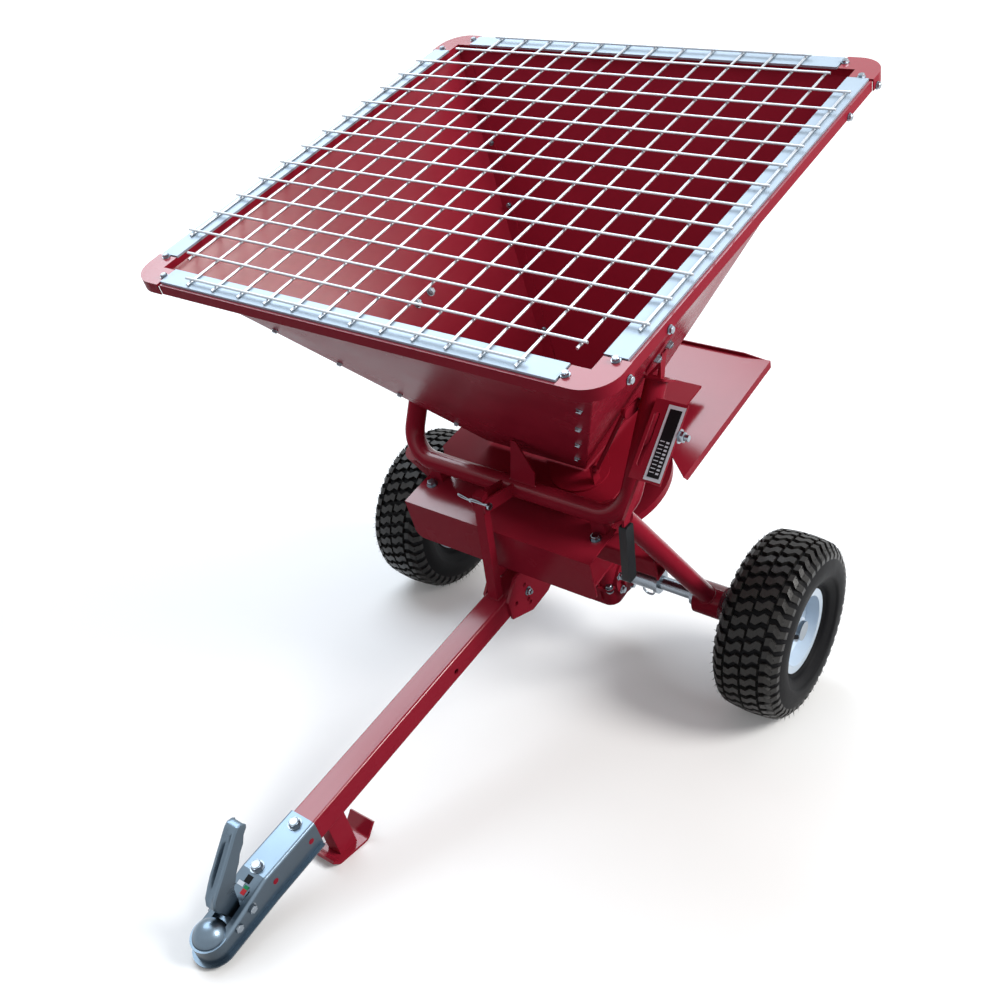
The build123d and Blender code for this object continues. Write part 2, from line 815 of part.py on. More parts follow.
# Deck: flat plate behind the hoop, below the hopper's throat, with the outlet round the shaft.
deck_front = hoop_y + tube_radius + seat_gap
deck_cut = 22.0
outlet_radius = 40.0
with BuildPart() as deck:
    with BuildSketch(level(deck_z - deck_thick)):
        Polygon(
            (-deck_half, deck_front + deck_cut),
            (deck_cut - deck_half, deck_front),
            (deck_half - deck_cut, deck_front),
            (deck_half, deck_front + deck_cut),
            (deck_half, deck_back),
            (-deck_half, deck_back),
            align=None,
        )
        with Locations((0, hopper_y)):
            Circle(outlet_radius, mode=Mode.SUBTRACT)
    extrude(amount=deck_thick)
deck.part.label = "deck"
export_step(deck.part, "parts/deck.step")

# Shutter: sliding plate between deck and hopper, with a round lobe at its front right corner
# and an upright lug that the link rod moves.
shutter_thick = 4.0
lobe_side = lobe_radius / 2 ** 0.5
lug_half = 10.0
lug_right = lobe_x + lobe_radius - 13
lug_mid = lobe_y - lobe_radius / 4
lug_top = deck_z + 46
with BuildPart() as shutter:
    with BuildSketch(level(deck_z + seat_gap)):
        with Locations((0, hopper_y)):
            Rectangle(2 * shutter_half, 2 * shutter_half)
        with Locations((lobe_x, lobe_y)):
            Circle(lobe_radius)
        Polygon(
            (lobe_x - lobe_side, lobe_y - lobe_side),
            (lobe_x + lobe_side, lobe_y + lobe_side),
            (shutter_half, hopper_y),
            (0, hopper_y - shutter_half),
            align=None,
        )
        with Locations((0, hopper_y)):
            Circle(outlet_radius + 20, mode=Mode.SUBTRACT)
    extrude(amount=shutter_thick)
    with BuildSketch(side(lug_right)):
        Polygon(
            (lug_mid - lug_half, deck_z + shutter_thick / 2),
            (lug_mid + lug_half, deck_z + shutter_thick / 2),
            (lug_mid + lug_half, lug_top),
            (lug_mid - lug_half, lug_top),
            align=None,
        )
    extrude(amount=shutter_thick)
shutter.part.label = "shutter"
export_step(shutter.part, "parts/shutter.step")

# Hood: wide plate over the rear of the disc, with down-turned sides, an up-turned rear edge and
# four hangers to the deck.
hood_lip = 7.0
hanger = 24.0
hanger_x = deck_half - 60
hood_corner_x = hood_half - 50
hood_corner_y = hood_nose + 45
hood_bay_x = hood_half - 150
hood_bay_y = hood_nose + 125
hood_taper = 60.0
with BuildPart() as hood:
    with BuildSketch(level(hood_z - sheet)):
        Polygon(
            (-hood_half, hood_nose),
            (-hood_corner_x, hood_corner_y),
            (-hood_bay_x, hood_bay_y),
            (hood_bay_x, hood_bay_y),
            (hood_corner_x, hood_corner_y),
            (hood_half, hood_nose),
            (hood_half, hood_rear),
            (-hood_half, hood_rear),
            align=None,
        )
    extrude(amount=sheet)
    for flange in (-hood_half, hood_half - sheet):
        with BuildSketch(side(flange)):
            Polygon(
                (hood_nose, hood_z),
                (hood_rear, hood_z),
                (hood_rear, hood_z - hood_flange),
                (hood_nose + 12, hood_z - hood_flange),
                align=None,
            )
        extrude(amount=sheet)
    with BuildSketch(across(hood_rear)):
        Polygon(
            (-hood_half, hood_z - sheet),
            (hood_half, hood_z - sheet),
            (hood_half - hood_taper, hood_z + hood_lip),
            (hood_taper - hood_half, hood_z + hood_lip),
            align=None,
        )
    extrude(amount=sheet)
    with BuildSketch(level(hood_z - sheet / 2)):
        for x in (-hanger_x, hanger_x):
            with Locations((x, deck_back - 60), (x, deck_back - 20)):
                Rectangle(hanger, hanger)
    extrude(amount=hood_drop - deck_thick - seat_gap + sheet / 2)
hood.part.label = "hood"
export_step(hood.part, "parts/hood.step")

# Guard: folded sheet in front of the disc, rounded at its lower corners, below the hoop's lugs.
guard_back = hoop_y + 12
guard_low = guard_top - guard_drop
with BuildPart() as guard:
    with BuildSketch(level(guard_top - guard_sheet)):
        Polygon(
            (-guard_half, guard_front),
            (guard_half, guard_front),
            (guard_half, guard_back),
            (-guard_half, guard_back),
            align=None,
        )
    extrude(amount=guard_sheet)
    with BuildSketch(across(guard_front + guard_sheet)) as face:
        Polygon(
            (-guard_half, guard_low),
            (guard_half, guard_low),
            (guard_half, guard_top),
            (-guard_half, guard_top),
            align=None,
        )
        fillet(face.vertices().group_by(Axis.Y)[0], 20)
    extrude(amount=guard_sheet)
guard.part.label = "guard"
export_step(guard.part, "parts/guard.step")

# Drawbar: square tube between the pivot plates, rising a little to the front.
forward = (0, -cos(rise), sin(rise))
bar_up = (0, sin(rise), cos(rise))
bar_inside = bar_size - 2 * bar_wall


def bar_cut(u):
    """Plane across the drawbar: sketch x is X, sketch y is up from its middle."""
    return on_machine(on_bar(u), (1, 0, 0), forward)


def bar_level(w):
    """Plane along the drawbar: sketch x runs forward, sketch y is X."""
    return on_machine(on_bar(0, 0, w), forward, bar_up)


def bar_side(x):
    """Plane beside the drawbar: sketch x runs forward, sketch y is up, extruding to the left."""
    return on_machine(on_bar(0, x), forward, (-1, 0, 0))


with BuildPart() as drawbar:
    with BuildSketch(bar_cut(bar_rear)):
        RectangleRounded(bar_size, bar_size, 5)
        RectangleRounded(bar_inside, bar_inside, 2, mode=Mode.SUBTRACT)
    extrude(amount=bar_front - bar_rear)
    with BuildSketch(bar_side(bar_size)):
        with Locations((cross_place, -4), (0, 0), (39, 0)):
            Circle(cross_hole)
    extrude(amount=2 * bar_size, mode=Mode.SUBTRACT)
drawbar.part.label = "drawbar"
export_step(drawbar.part, "parts/drawbar.step")

# Pivot plates: a pair of cheeks on the cross beam that hold the drawbar, with an arc of holes
# for setting its height.
plate_in = bar_size / 2 + seat_gap
plate_butt = beam_front - seat_gap
plate_nose = 60.0
plate_heel = 57.0
plate_half = 58.0
plate_bevel = 24.0
plate_holes = ((0, 0), (-4, 21), (-4, -21), (-1, -33), (-39, 2))
with BuildPart() as pivot_plates:
    for face in (plate_in, -plate_in - plate_thick):
        with BuildSketch(side(face)):
            Polygon(
                (pivot_y - plate_bevel, pivot_z + plate_half),
                (pivot_y - plate_nose, pivot_z + plate_bevel),
                (pivot_y - plate_nose, pivot_z - plate_bevel),
                (pivot_y, pivot_z - plate_half),
                (pivot_y + plate_heel, pivot_z - plate_half),
                (plate_butt, beam_z - beam_size / 2 + 2),
                (plate_butt, beam_z + beam_size / 2 - 3),
                (pivot_y + plate_heel, pivot_z + plate_half),
                align=None,
            )
            with Locations(*[(pivot_y + y, pivot_z + z) for y, z in plate_holes]):
                Circle(bolt_radius, mode=Mode.SUBTRACT)
        extrude(amount=plate_thick)
pivot_plates.part.label = "pivot_plates"
export_step(pivot_plates.part, "parts/pivot_plates.step")

# Stay: square bar from the drawbar's top up to the hoop's cheeks, with the pin that holds it.
stay_foot = bar_top + stay_depth / 2 * tan(rise) + seat_gap
with BuildPart() as stay:
    with BuildSketch(side(-stay_width / 2)):
        Polygon(
            (stay_low - stay_depth / 2, stay_foot),
            (stay_low + stay_depth / 2, stay_foot),
            (stay_high + stay_depth / 2, stay_top),
            (stay_high - stay_depth / 2, stay_top),
            align=None,
        )
        with Locations((stay_pin_y, stay_pin_z)):
            Circle(stay_pin_radius + running_gap, mode=Mode.SUBTRACT)
    extrude(amount=stay_width)
stay.part.label = "stay"
export_step(stay.part, "parts/stay.step")

pin_reach = cheek_in + cheek + 1
with BuildPart() as stay_pin:
    with BuildSketch(side(-pin_reach - 10)):
        with Locations((stay_pin_y, stay_pin_z)):
            Circle(stay_pin_radius)
    extrude(amount=2 * pin_reach + 10)
    with BuildSketch(side(pin_reach)):
        with Locations((stay_pin_y, stay_pin_z)):
            Circle(stay_pin_radius + 3)
    extrude(amount=5)
stay_pin.part.label = "stay_pin"
export_step(stay_pin.part, "parts/stay_pin.step")

# Ball coupling: pressed steel shell over the drawbar's end, drawn down and waisted behind the
# round dome that closes over the ball, with a turned-out edge all round below and a pocket
# between its cheeks for the lever's base.
dome_out = ball_radius + shell + 1
neck_place = ball_place - 34
step_place = bar_front + 10
neck_top = nose_top + 5
pocket_half = 17.0
pocket_rear = step_place + 28
shell_sections = (
    (coupling_rear, shell_out, shell_out),
    (step_place, shell_out, shell_out),
    (neck_place, nose_out - 1, neck_top),
    (ball_place, nose_out, nose_top),
)
ball_line = Axis(at(*on_bar(ball_place)), turned(bar_up))
with BuildPart() as coupling:
    for place, half, top in shell_sections:
        with BuildSketch(bar_cut(place)) as cut:
            Polygon((-half, edge_low), (half, edge_low), (half, top), (-half, top), align=None)
            fillet(cut.vertices().group_by(Axis.Y)[-1], 6)
    loft(ruled=True)
    with BuildSketch(bar_level(edge_low)):
        with Locations((ball_place, 0)):
            Circle(nose_out)
    extrude(amount=nose_top - edge_low)
    with BuildSketch(bar_level(0)):
        with Locations(((pocket_rear + ball_place) / 2, 0)):
            Rectangle(ball_place - pocket_rear, 2 * pocket_half)
    extrude(amount=2 * bar_size, mode=Mode.SUBTRACT)
    with BuildSketch(bar_side(0)):
        with BuildLine():
            Line((ball_place, -10), (ball_place, dome_out))
            CenterArc((ball_place, 0), dome_out, 0, 90)
            Polyline((ball_place + dome_out, 0), (ball_place + dome_out, -10), (ball_place, -10))
        make_face()
    revolve(axis=ball_line)
    with BuildSketch(bar_level(edge_low)):
        Polygon(
            (coupling_rear + 2, -shell_out - coupling_edge),
            (step_place, -shell_out - coupling_edge),
            (ball_place, -nose_out - coupling_edge),
            (ball_place, nose_out + coupling_edge),
            (step_place, shell_out + coupling_edge),
            (coupling_rear + 2, shell_out + coupling_edge),
            align=None,
        )
        with Locations((ball_place, 0)):
            Circle(nose_out + coupling_edge)
    extrude(amount=shell)
    with BuildSketch(bar_cut(coupling_rear - 5)):
        Polygon(
            (-shell_in, edge_low - 5),
            (shell_in, edge_low - 5),
            (shell_in, shell_in),
            (-shell_in, shell_in),
            align=None,
        )
    extrude(amount=coupling_lap + 10, mode=Mode.SUBTRACT)
    with BuildSketch(bar_level(edge_low - 5)):
        with Locations((ball_place, 0)):
            Circle(ball_radius)
    extrude(amount=5 - edge_low, mode=Mode.SUBTRACT)
    with BuildSketch(bar_side(0)):
        with BuildLine():
            Line((ball_place, -2), (ball_place, ball_radius))
            CenterArc((ball_place, 0), ball_radius, 0, 90)
            Polyline((ball_place + ball_radius, 0), (ball_place + ball_radius, -2), (ball_place, -2))
        make_face()
    revolve(axis=ball_line, mode=Mode.SUBTRACT)
coupling.part.label = "coupling"
export_step(coupling.part, "parts/coupling.step")

# Hand lever of the coupling: a channel that stands up behind the dome and leans to the rear,
# on a base block in the pocket.
lever_half = pocket_half - 6
base_front = neck_place - 4
base_rear = base_front - 22
lever_heel = 50.0
lever_knee = 70.0
lever_tall = 150.0
lever_tip = 16.0
tip_place = base_front - 92
groove = 4.0
with BuildPart() as coupling_lever:
    with BuildSketch(bar_side(lever_half)) as profile:
        Polygon(
            (base_front, seat_gap),
            (base_front + 16, lever_heel),
            (base_front + 8, lever_knee),
            (tip_place + lever_tip, lever_tall),
            (tip_place, lever_tall - 4),
            (tip_place - 2, lever_tall - lever_tip),
            (base_rear - 6, lever_heel),
            (base_rear, seat_gap),
            align=None,
        )
    extrude(amount=2 * lever_half)
    with BuildSketch(bar_side(lever_half - groove)):
        Polygon(
            (base_rear + groove, lever_heel - lever_tip),
            (base_rear + lever_tip, lever_heel + groove),
            (tip_place + lever_tip + groove, lever_tall - lever_tip),
            (tip_place + groove, lever_tall - 2 * lever_tip),
            align=None,
        )
    extrude(amount=2 * (lever_half - groove), mode=Mode.SUBTRACT)
coupling_lever.part.label = "coupling_lever"
export_step(coupling_lever.part, "parts/coupling_lever.step")

# Skid foot: a post under the drawbar on a plate bent up at both ends. Its sole is level when
# the machine parks on it.
sole_back = (0, cos(lean), -sin(lean))
sole_up = (0, sin(lean), cos(lean))
foot_run = 36.0
toe_front = 14.0
toe_rear = 30.0
toe_long = 18.0
bend = 14.0
post_head = -bar_size / 2 - seat_gap
post_foot = post_head - foot_drop - foot_post
with BuildPart() as skid_foot:
    with BuildSketch(on_machine((-foot_half, sole_y, sole_z), sole_back, (1, 0, 0))):
        with BuildLine():
            FilletPolyline(
                (-foot_run - toe_long, toe_front),
                (-foot_run, 0),
                (foot_run, 0),
                (foot_run + toe_long, toe_rear),
                radius=bend,
            )
            offset(amount=foot_plate, side=Side.LEFT)
        make_face()
    extrude(amount=2 * foot_half)
    with BuildSketch(bar_side(foot_post_width / 2)):
        Polygon(
            (foot_place - foot_post / 2, post_head),
            (foot_place + foot_post / 2, post_head),
            (foot_place + foot_post / 2, post_foot),
            (foot_place - foot_post / 2, post_foot),
            align=None,
        )
    extrude(amount=foot_post_width)
    with BuildSketch(on_machine((0, sole_y, sole_z), (1, 0, 0), sole_up)):
        Rectangle(4 * foot_half, 4 * foot_run)
    extrude(amount=-2 * foot_post, mode=Mode.SUBTRACT)
skid_foot.part.label = "skid_foot"
export_step(skid_foot.part, "parts/skid_foot.step")

# Scale plate: slotted plate to the right of the right upright, with a flank turned down from its
# left edge to the upright's side.
plate_down = (0, -cos(down), -sin(down))
plate_up = (0, -sin(down), cos(down))
scale_y, scale_z = post(scale_start, tube_radius + 3.7)
scale_thick = 3.0
scale_left = post_x + tube_radius + seat_gap
flank_length = 92.0
flank_tall = 70.0
lever_x = scale_left + scale_thick + 2
slot_wide = 11.0
slot_length = scale_length - 46
slot_mid = lever_x - scale_left + lever_thick / 2 + 4
with BuildPart() as scale_plate:
    with BuildSketch(on_machine((scale_left, scale_y, scale_z), (1, 0, 0), plate_up)):
        Polygon((0, 0), (scale_width, 0), (scale_width, -scale_length), (0, -scale_length), align=None)
        with Locations((slot_mid, -scale_length / 2)):
            SlotOverall(slot_length, slot_wide, rotation=90, mode=Mode.SUBTRACT)
    extrude(amount=scale_thick)
    with BuildSketch(side(scale_left)):
        Polygon(
            post(scale_start),
            post(scale_start - flank_tall),
            (scale_y - flank_length * cos(down), scale_z - flank_length * sin(down) + 1),
            (scale_y - 1, scale_z + 1),
            align=None,
        )
        with Locations(lever_pivot):
            Circle(pivot_radius + running_gap, mode=Mode.SUBTRACT)
    extrude(amount=scale_thick)
scale_plate.part.label = "scale_plate"
export_step(scale_plate.part, "parts/scale_plate.step")

# Shutter lever: flat bar along the scale plate, bent down at its end. Its pivot runs through
# the upright to a crank inside it.
lever_wide = 18.0
lever_turn = down + radians(46)
tang = 62.0
crank_x = post_x - tube_radius - 8
crank_y = lever_pivot[0] - 37
crank_z = lever_pivot[1] + 7
crank_thick = 4.0
crank_half = pivot_radius + 3
bend_y = lever_pivot[0] - lever_length * cos(down)
bend_z = lever_pivot[1] - lever_length * sin(down)
grip_way = (0, -cos(lever_turn), -sin(lever_turn))


def lever_side(x):
    """Plane beside the lever from its pivot along the bar, extruding to the left."""
    return on_machine((x, *lever_pivot), plate_down, (-1, 0, 0))


def grip_side(x):
    """Plane beside the lever's bent end from its bend along the grip, extruding to the left."""
    return on_machine((x, bend_y, bend_z), grip_way, (-1, 0, 0))


with BuildPart() as shutter_lever:
    with BuildSketch(lever_side(lever_x + lever_thick)):
        with Locations((lever_length / 2, 0)):
            Rectangle(lever_length, lever_wide)
        with Locations((lever_length, 0)):
            Circle(lever_wide / 2)
        Circle(crank_half)
    extrude(amount=lever_thick)
    with BuildSketch(grip_side(lever_x + lever_thick)):
        with Locations((tang / 2, 0)):
            Rectangle(tang, lever_wide)
    extrude(amount=lever_thick)
    with BuildSketch(side(crank_x)):
        with Locations(lever_pivot):
            Circle(pivot_radius)
    extrude(amount=lever_x + 1 - crank_x)
    with BuildSketch(side(crank_x)):
        with Locations(lever_pivot, (crank_y, crank_z)):
            Circle(crank_half)
        Polygon(
            (lever_pivot[0], lever_pivot[1] - crank_half),
            (lever_pivot[0], lever_pivot[1] + crank_half),
            (crank_y, crank_z + crank_half),
            (crank_y, crank_z - crank_half),
            align=None,
        )
    extrude(amount=crank_thick)
shutter_lever.part.label = "shutter_lever"
export_step(shutter_lever.part, "parts/shutter_lever.step")

# Lever grip: a moulded plastic handle pushed over the lever's bent end.
grip_start = 8.0
grip_wide = 25.0
grip_thick = 15.0
grip_face = lever_x + lever_thick / 2 + grip_thick / 2
with BuildPart() as lever_grip:
    with BuildSketch(grip_side(grip_face)):
        with Locations((grip_start + grip_length / 2, 0)):
            RectangleRounded(grip_length, grip_wide, 6)
    extrude(amount=grip_thick)
    with BuildSketch(grip_side(lever_x + lever_thick + seat_gap)):
        with Locations((tang / 2, 0)):
            Rectangle(tang + 2 * seat_gap, lever_wide + 2 * seat_gap)
    extrude(amount=lever_thick + 2 * seat_gap, mode=Mode.SUBTRACT)
lever_grip.part.label = "lever_grip"
export_step(lever_grip.part, "parts/lever_grip.step")

# Link rod: from the lever's crank down to the shutter's lug, with an eye at each end.
eye = 7.0
eye_long = 8.0
rod_top = (crank_x - seat_gap - eye_long / 2, crank_y, crank_z)
rod_low = (lug_right + shutter_thick + seat_gap + eye_long / 2, lug_mid, lug_top - lug_half)
rod_run = Vector(*rod_low) - Vector(*rod_top)
with BuildPart() as link_rod:
    with BuildSketch(on_machine(rod_top, (0, 1, 0), tuple(rod_run.normalized()))):
        Circle(rod_radius)
    extrude(amount=rod_run.length)
    for end_x, end_y, end_z in (rod_top, rod_low):
        with BuildSketch(side(end_x - eye_long / 2)):
            with Locations((end_y, end_z)):
                Circle(eye)
        extrude(amount=eye_long)
link_rod.part.label = "link_rod"
export_step(link_rod.part, "parts/link_rod.step")
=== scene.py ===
import json
import math

import bmesh
import bpy
from mathutils import Matrix, Vector


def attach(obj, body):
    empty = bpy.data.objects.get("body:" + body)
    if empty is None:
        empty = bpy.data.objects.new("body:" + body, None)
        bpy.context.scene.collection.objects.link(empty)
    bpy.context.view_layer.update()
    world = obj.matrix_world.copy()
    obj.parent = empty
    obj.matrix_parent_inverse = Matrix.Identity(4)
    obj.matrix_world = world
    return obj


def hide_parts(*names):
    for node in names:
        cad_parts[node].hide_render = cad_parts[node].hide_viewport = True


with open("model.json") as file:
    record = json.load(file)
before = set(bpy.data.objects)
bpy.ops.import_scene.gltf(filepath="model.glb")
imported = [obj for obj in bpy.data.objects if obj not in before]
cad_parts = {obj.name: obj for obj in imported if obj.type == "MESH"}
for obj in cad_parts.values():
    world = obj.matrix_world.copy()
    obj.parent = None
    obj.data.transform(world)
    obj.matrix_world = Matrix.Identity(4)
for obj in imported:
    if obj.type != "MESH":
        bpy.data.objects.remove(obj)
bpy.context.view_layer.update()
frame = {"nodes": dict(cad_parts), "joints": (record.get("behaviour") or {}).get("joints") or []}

nodes = frame["nodes"]

# Tube frame: a bent steel hoop, two axle arms, a square cross beam and the folded brackets that
# hold the hopper. It is welded up, blasted and powder coated in a deep red. Its faces that lie
# upward get a clear coat as painted sheen, which stands in for the sky mirrored in them.


def link_all(tree, wires):
    """Joins each pair of an output and an input."""
    for start, end in wires:
        tree.links.new(start, end)


def start_tree(name, kind, *sockets):
    """A node group with these sockets, by name, direction and kind, and its two end nodes."""
    tree = bpy.data.node_groups.new(name, kind)
    for label, direction, content in sockets:
        tree.interface.new_socket(label, in_out=direction, socket_type=f"NodeSocket{content}")
    return tree, tree.nodes.new("NodeGroupInput"), tree.nodes.new("NodeGroupOutput")


def uneven_skin():
    """Shader group: fine relief of a coated or moulded skin, and slow changes of its sheen."""
    group, inlet, outlet = start_tree(
        "uneven skin",
        "ShaderNodeTree",
        ("Relief Scale", "INPUT", "Float"),
        ("Relief Height", "INPUT", "Float"),
        ("Shiny", "INPUT", "Float"),
        ("Dull", "INPUT", "Float"),
        ("Normal", "OUTPUT", "Vector"),
        ("Roughness", "OUTPUT", "Float"),
        ("Patches", "OUTPUT", "Float"),
    )
    place = group.nodes.new("ShaderNodeTexCoord")
    relief = group.nodes.new("ShaderNodeTexNoise")
    relief.inputs["Detail"].default_value = 2.0
    bump = group.nodes.new("ShaderNodeBump")
    patches = group.nodes.new("ShaderNodeTexNoise")
    patches.inputs["Scale"].default_value = 9.0
    patches.inputs["Detail"].default_value = 4.0
    sheen = group.nodes.new("ShaderNodeMapRange")
    sheen.inputs["From Min"].default_value = 0.3
    sheen.inputs["From Max"].default_value = 0.7
    wires = (
        (place.outputs["Object"], relief.inputs["Vector"]),
        (inlet.outputs["Relief Scale"], relief.inputs["Scale"]),
        (relief.outputs["Fac"], bump.inputs["Height"]),
        (inlet.outputs["Relief Height"], bump.inputs["Distance"]),
        (place.outputs["Object"], patches.inputs["Vector"]),
        (patches.outputs["Fac"], sheen.inputs["Value"]),
        (inlet.outputs["Shiny"], sheen.inputs["To Min"]),
        (inlet.outputs["Dull"], sheen.inputs["To Max"]),
        (bump.outputs["Normal"], outlet.inputs["Normal"]),
        (sheen.outputs["Result"], outlet.inputs["Roughness"]),
        (patches.outputs["Fac"], outlet.inputs["Patches"]),
    )
    link_all(group, wires)
    return group


skin = uneven_skin()


def upward_share():
    """Shader group: 0 on faces that look below Low, rising to 1 on faces that look above High."""
    group, inlet, outlet = start_tree(
        "upward share",
        "ShaderNodeTree",
        ("Low", "INPUT", "Float"),
        ("High", "INPUT", "Float"),
        ("Share", "OUTPUT", "Float"),
    )
    facing = group.nodes.new("ShaderNodeNewGeometry")
    height = group.nodes.new("ShaderNodeSeparateXYZ")
    share = group.nodes.new("ShaderNodeMapRange")
    wires = (
        (facing.outputs["Normal"], height.inputs["Vector"]),
        (height.outputs["Z"], share.inputs["Value"]),
        (inlet.outputs["Low"], share.inputs["From Min"]),
        (inlet.outputs["High"], share.inputs["From Max"]),
        (share.outputs["Result"], outlet.inputs["Share"]),
    )
    link_all(group, wires)
    return group


upward = upward_share()


def add_upward(tree, low, high):
    """Places the upward share in a material with limits of its own."""
    lying = tree.nodes.new("ShaderNodeGroup")
    lying.node_tree = upward
    lying.inputs["Low"].default_value = low
    lying.inputs["High"].default_value = high
    return lying.outputs["Share"]


def add_mix(tree, share, dark):
    """A mix of colours that starts at dark. Gives its second colour's input and its output."""
    mix = tree.nodes.new("ShaderNodeMix")
    mix.data_type = "RGBA"
    factor, first, second = mix.inputs[0], mix.inputs[6], mix.inputs[7]
    first.default_value = (*dark, 1.0)
    tree.links.new(share, factor)
    return second, mix.outputs[2]


def finish_material(name, dark, light, relief_scale, relief_height, shiny, dull, **constants):
    """A material whose colour drifts between dark and light over an uneven skin."""
    material = bpy.data.materials.new(name)
    material.use_nodes = True
    tree = material.node_tree
    shader = tree.nodes["Principled BSDF"]
    for socket, value in constants.items():
        shader.inputs[socket.replace("_", " ")].default_value = value
    surface = tree.nodes.new("ShaderNodeGroup")
    surface.node_tree = skin
    for socket, value in (
        ("Relief Scale", relief_scale),
        ("Relief Height", relief_height),
        ("Shiny", shiny),
        ("Dull", dull),
    ):
        surface.inputs[socket].default_value = value
    light_end, drift = add_mix(tree, surface.outputs["Patches"], dark)
    light_end.default_value = (*light, 1.0)
    wires = (
        (drift, shader.inputs["Base Color"]),
        (surface.outputs["Roughness"], shader.inputs["Roughness"]),
        (surface.outputs["Normal"], shader.inputs["Normal"]),
    )
    link_all(tree, wires)
    return material


red_paint = finish_material(
    "deep red powder coat",
    dark=(0.260, 0.011, 0.026),
    light=(0.310, 0.015, 0.033),
    relief_scale=700.0,
    relief_height=0.00006,
    shiny=0.2,
    dull=0.3,
    Specular_IOR_Level=0.02,
    Coat_IOR=1.65,
    Coat_Roughness=0.2,
)
red_tree = red_paint.node_tree
# Painted sheen: the clear coat grows on faces that look upward, standing in for the sky mirrored
# there.
red_painted_sheen = red_tree.nodes["Principled BSDF"].inputs["Coat Weight"]
red_tree.links.new(add_upward(red_tree, low=0.3, high=0.8), red_painted_sheen)


def coat_nodes(material, *names):
    """Gives CAD nodes this finish."""
    for name in names:
        nodes[name].data.materials.clear()
        nodes[name].data.materials.append(material)


coat_nodes(
    red_paint,
    "hoop_frame",
    "axle_arm_left",
    "axle_arm_right",
    "cross_beam",
    "side_brackets",
    "front_bracket",
    "axle_left",
    "bearing_right",
)

# Places on the level machine, in millimetres from the middle of its axle, as the parked machine
# has them: X to its right, Y to its rear, Z along the spinner's shaft.
joints = {joint["name"]: joint for joint in frame["joints"]}
axle_middle = Vector((0.0, *joints["wheel_right_spin"]["pos_m"][1:]))
machine_up = Vector(joints["spinner_spin"]["axis"]).normalized()
machine_back = Vector((0.0, machine_up.z, -machine_up.y))


def way(x, y, z):
    """A direction given on the level machine."""
    return Vector((x, 0.0, 0.0)) + machine_back * y + machine_up * z


def spot(x, y, z):
    """A place given on the level machine."""
    return axle_middle + way(x, y, z) / 1000.0


# Zinc plated hexagon bolts and nuts with washers, which hold the sheet parts to the frame and to
# each other. They are bought in, and pushed through punched holes.
bright_zinc = finish_material(
    "bright zinc plating",
    dark=(0.24, 0.28, 0.32),
    light=(0.33, 0.37, 0.41),
    relief_scale=300.0,
    relief_height=0.00008,
    shiny=0.22,
    dull=0.34,
    Metallic=1.0,
)


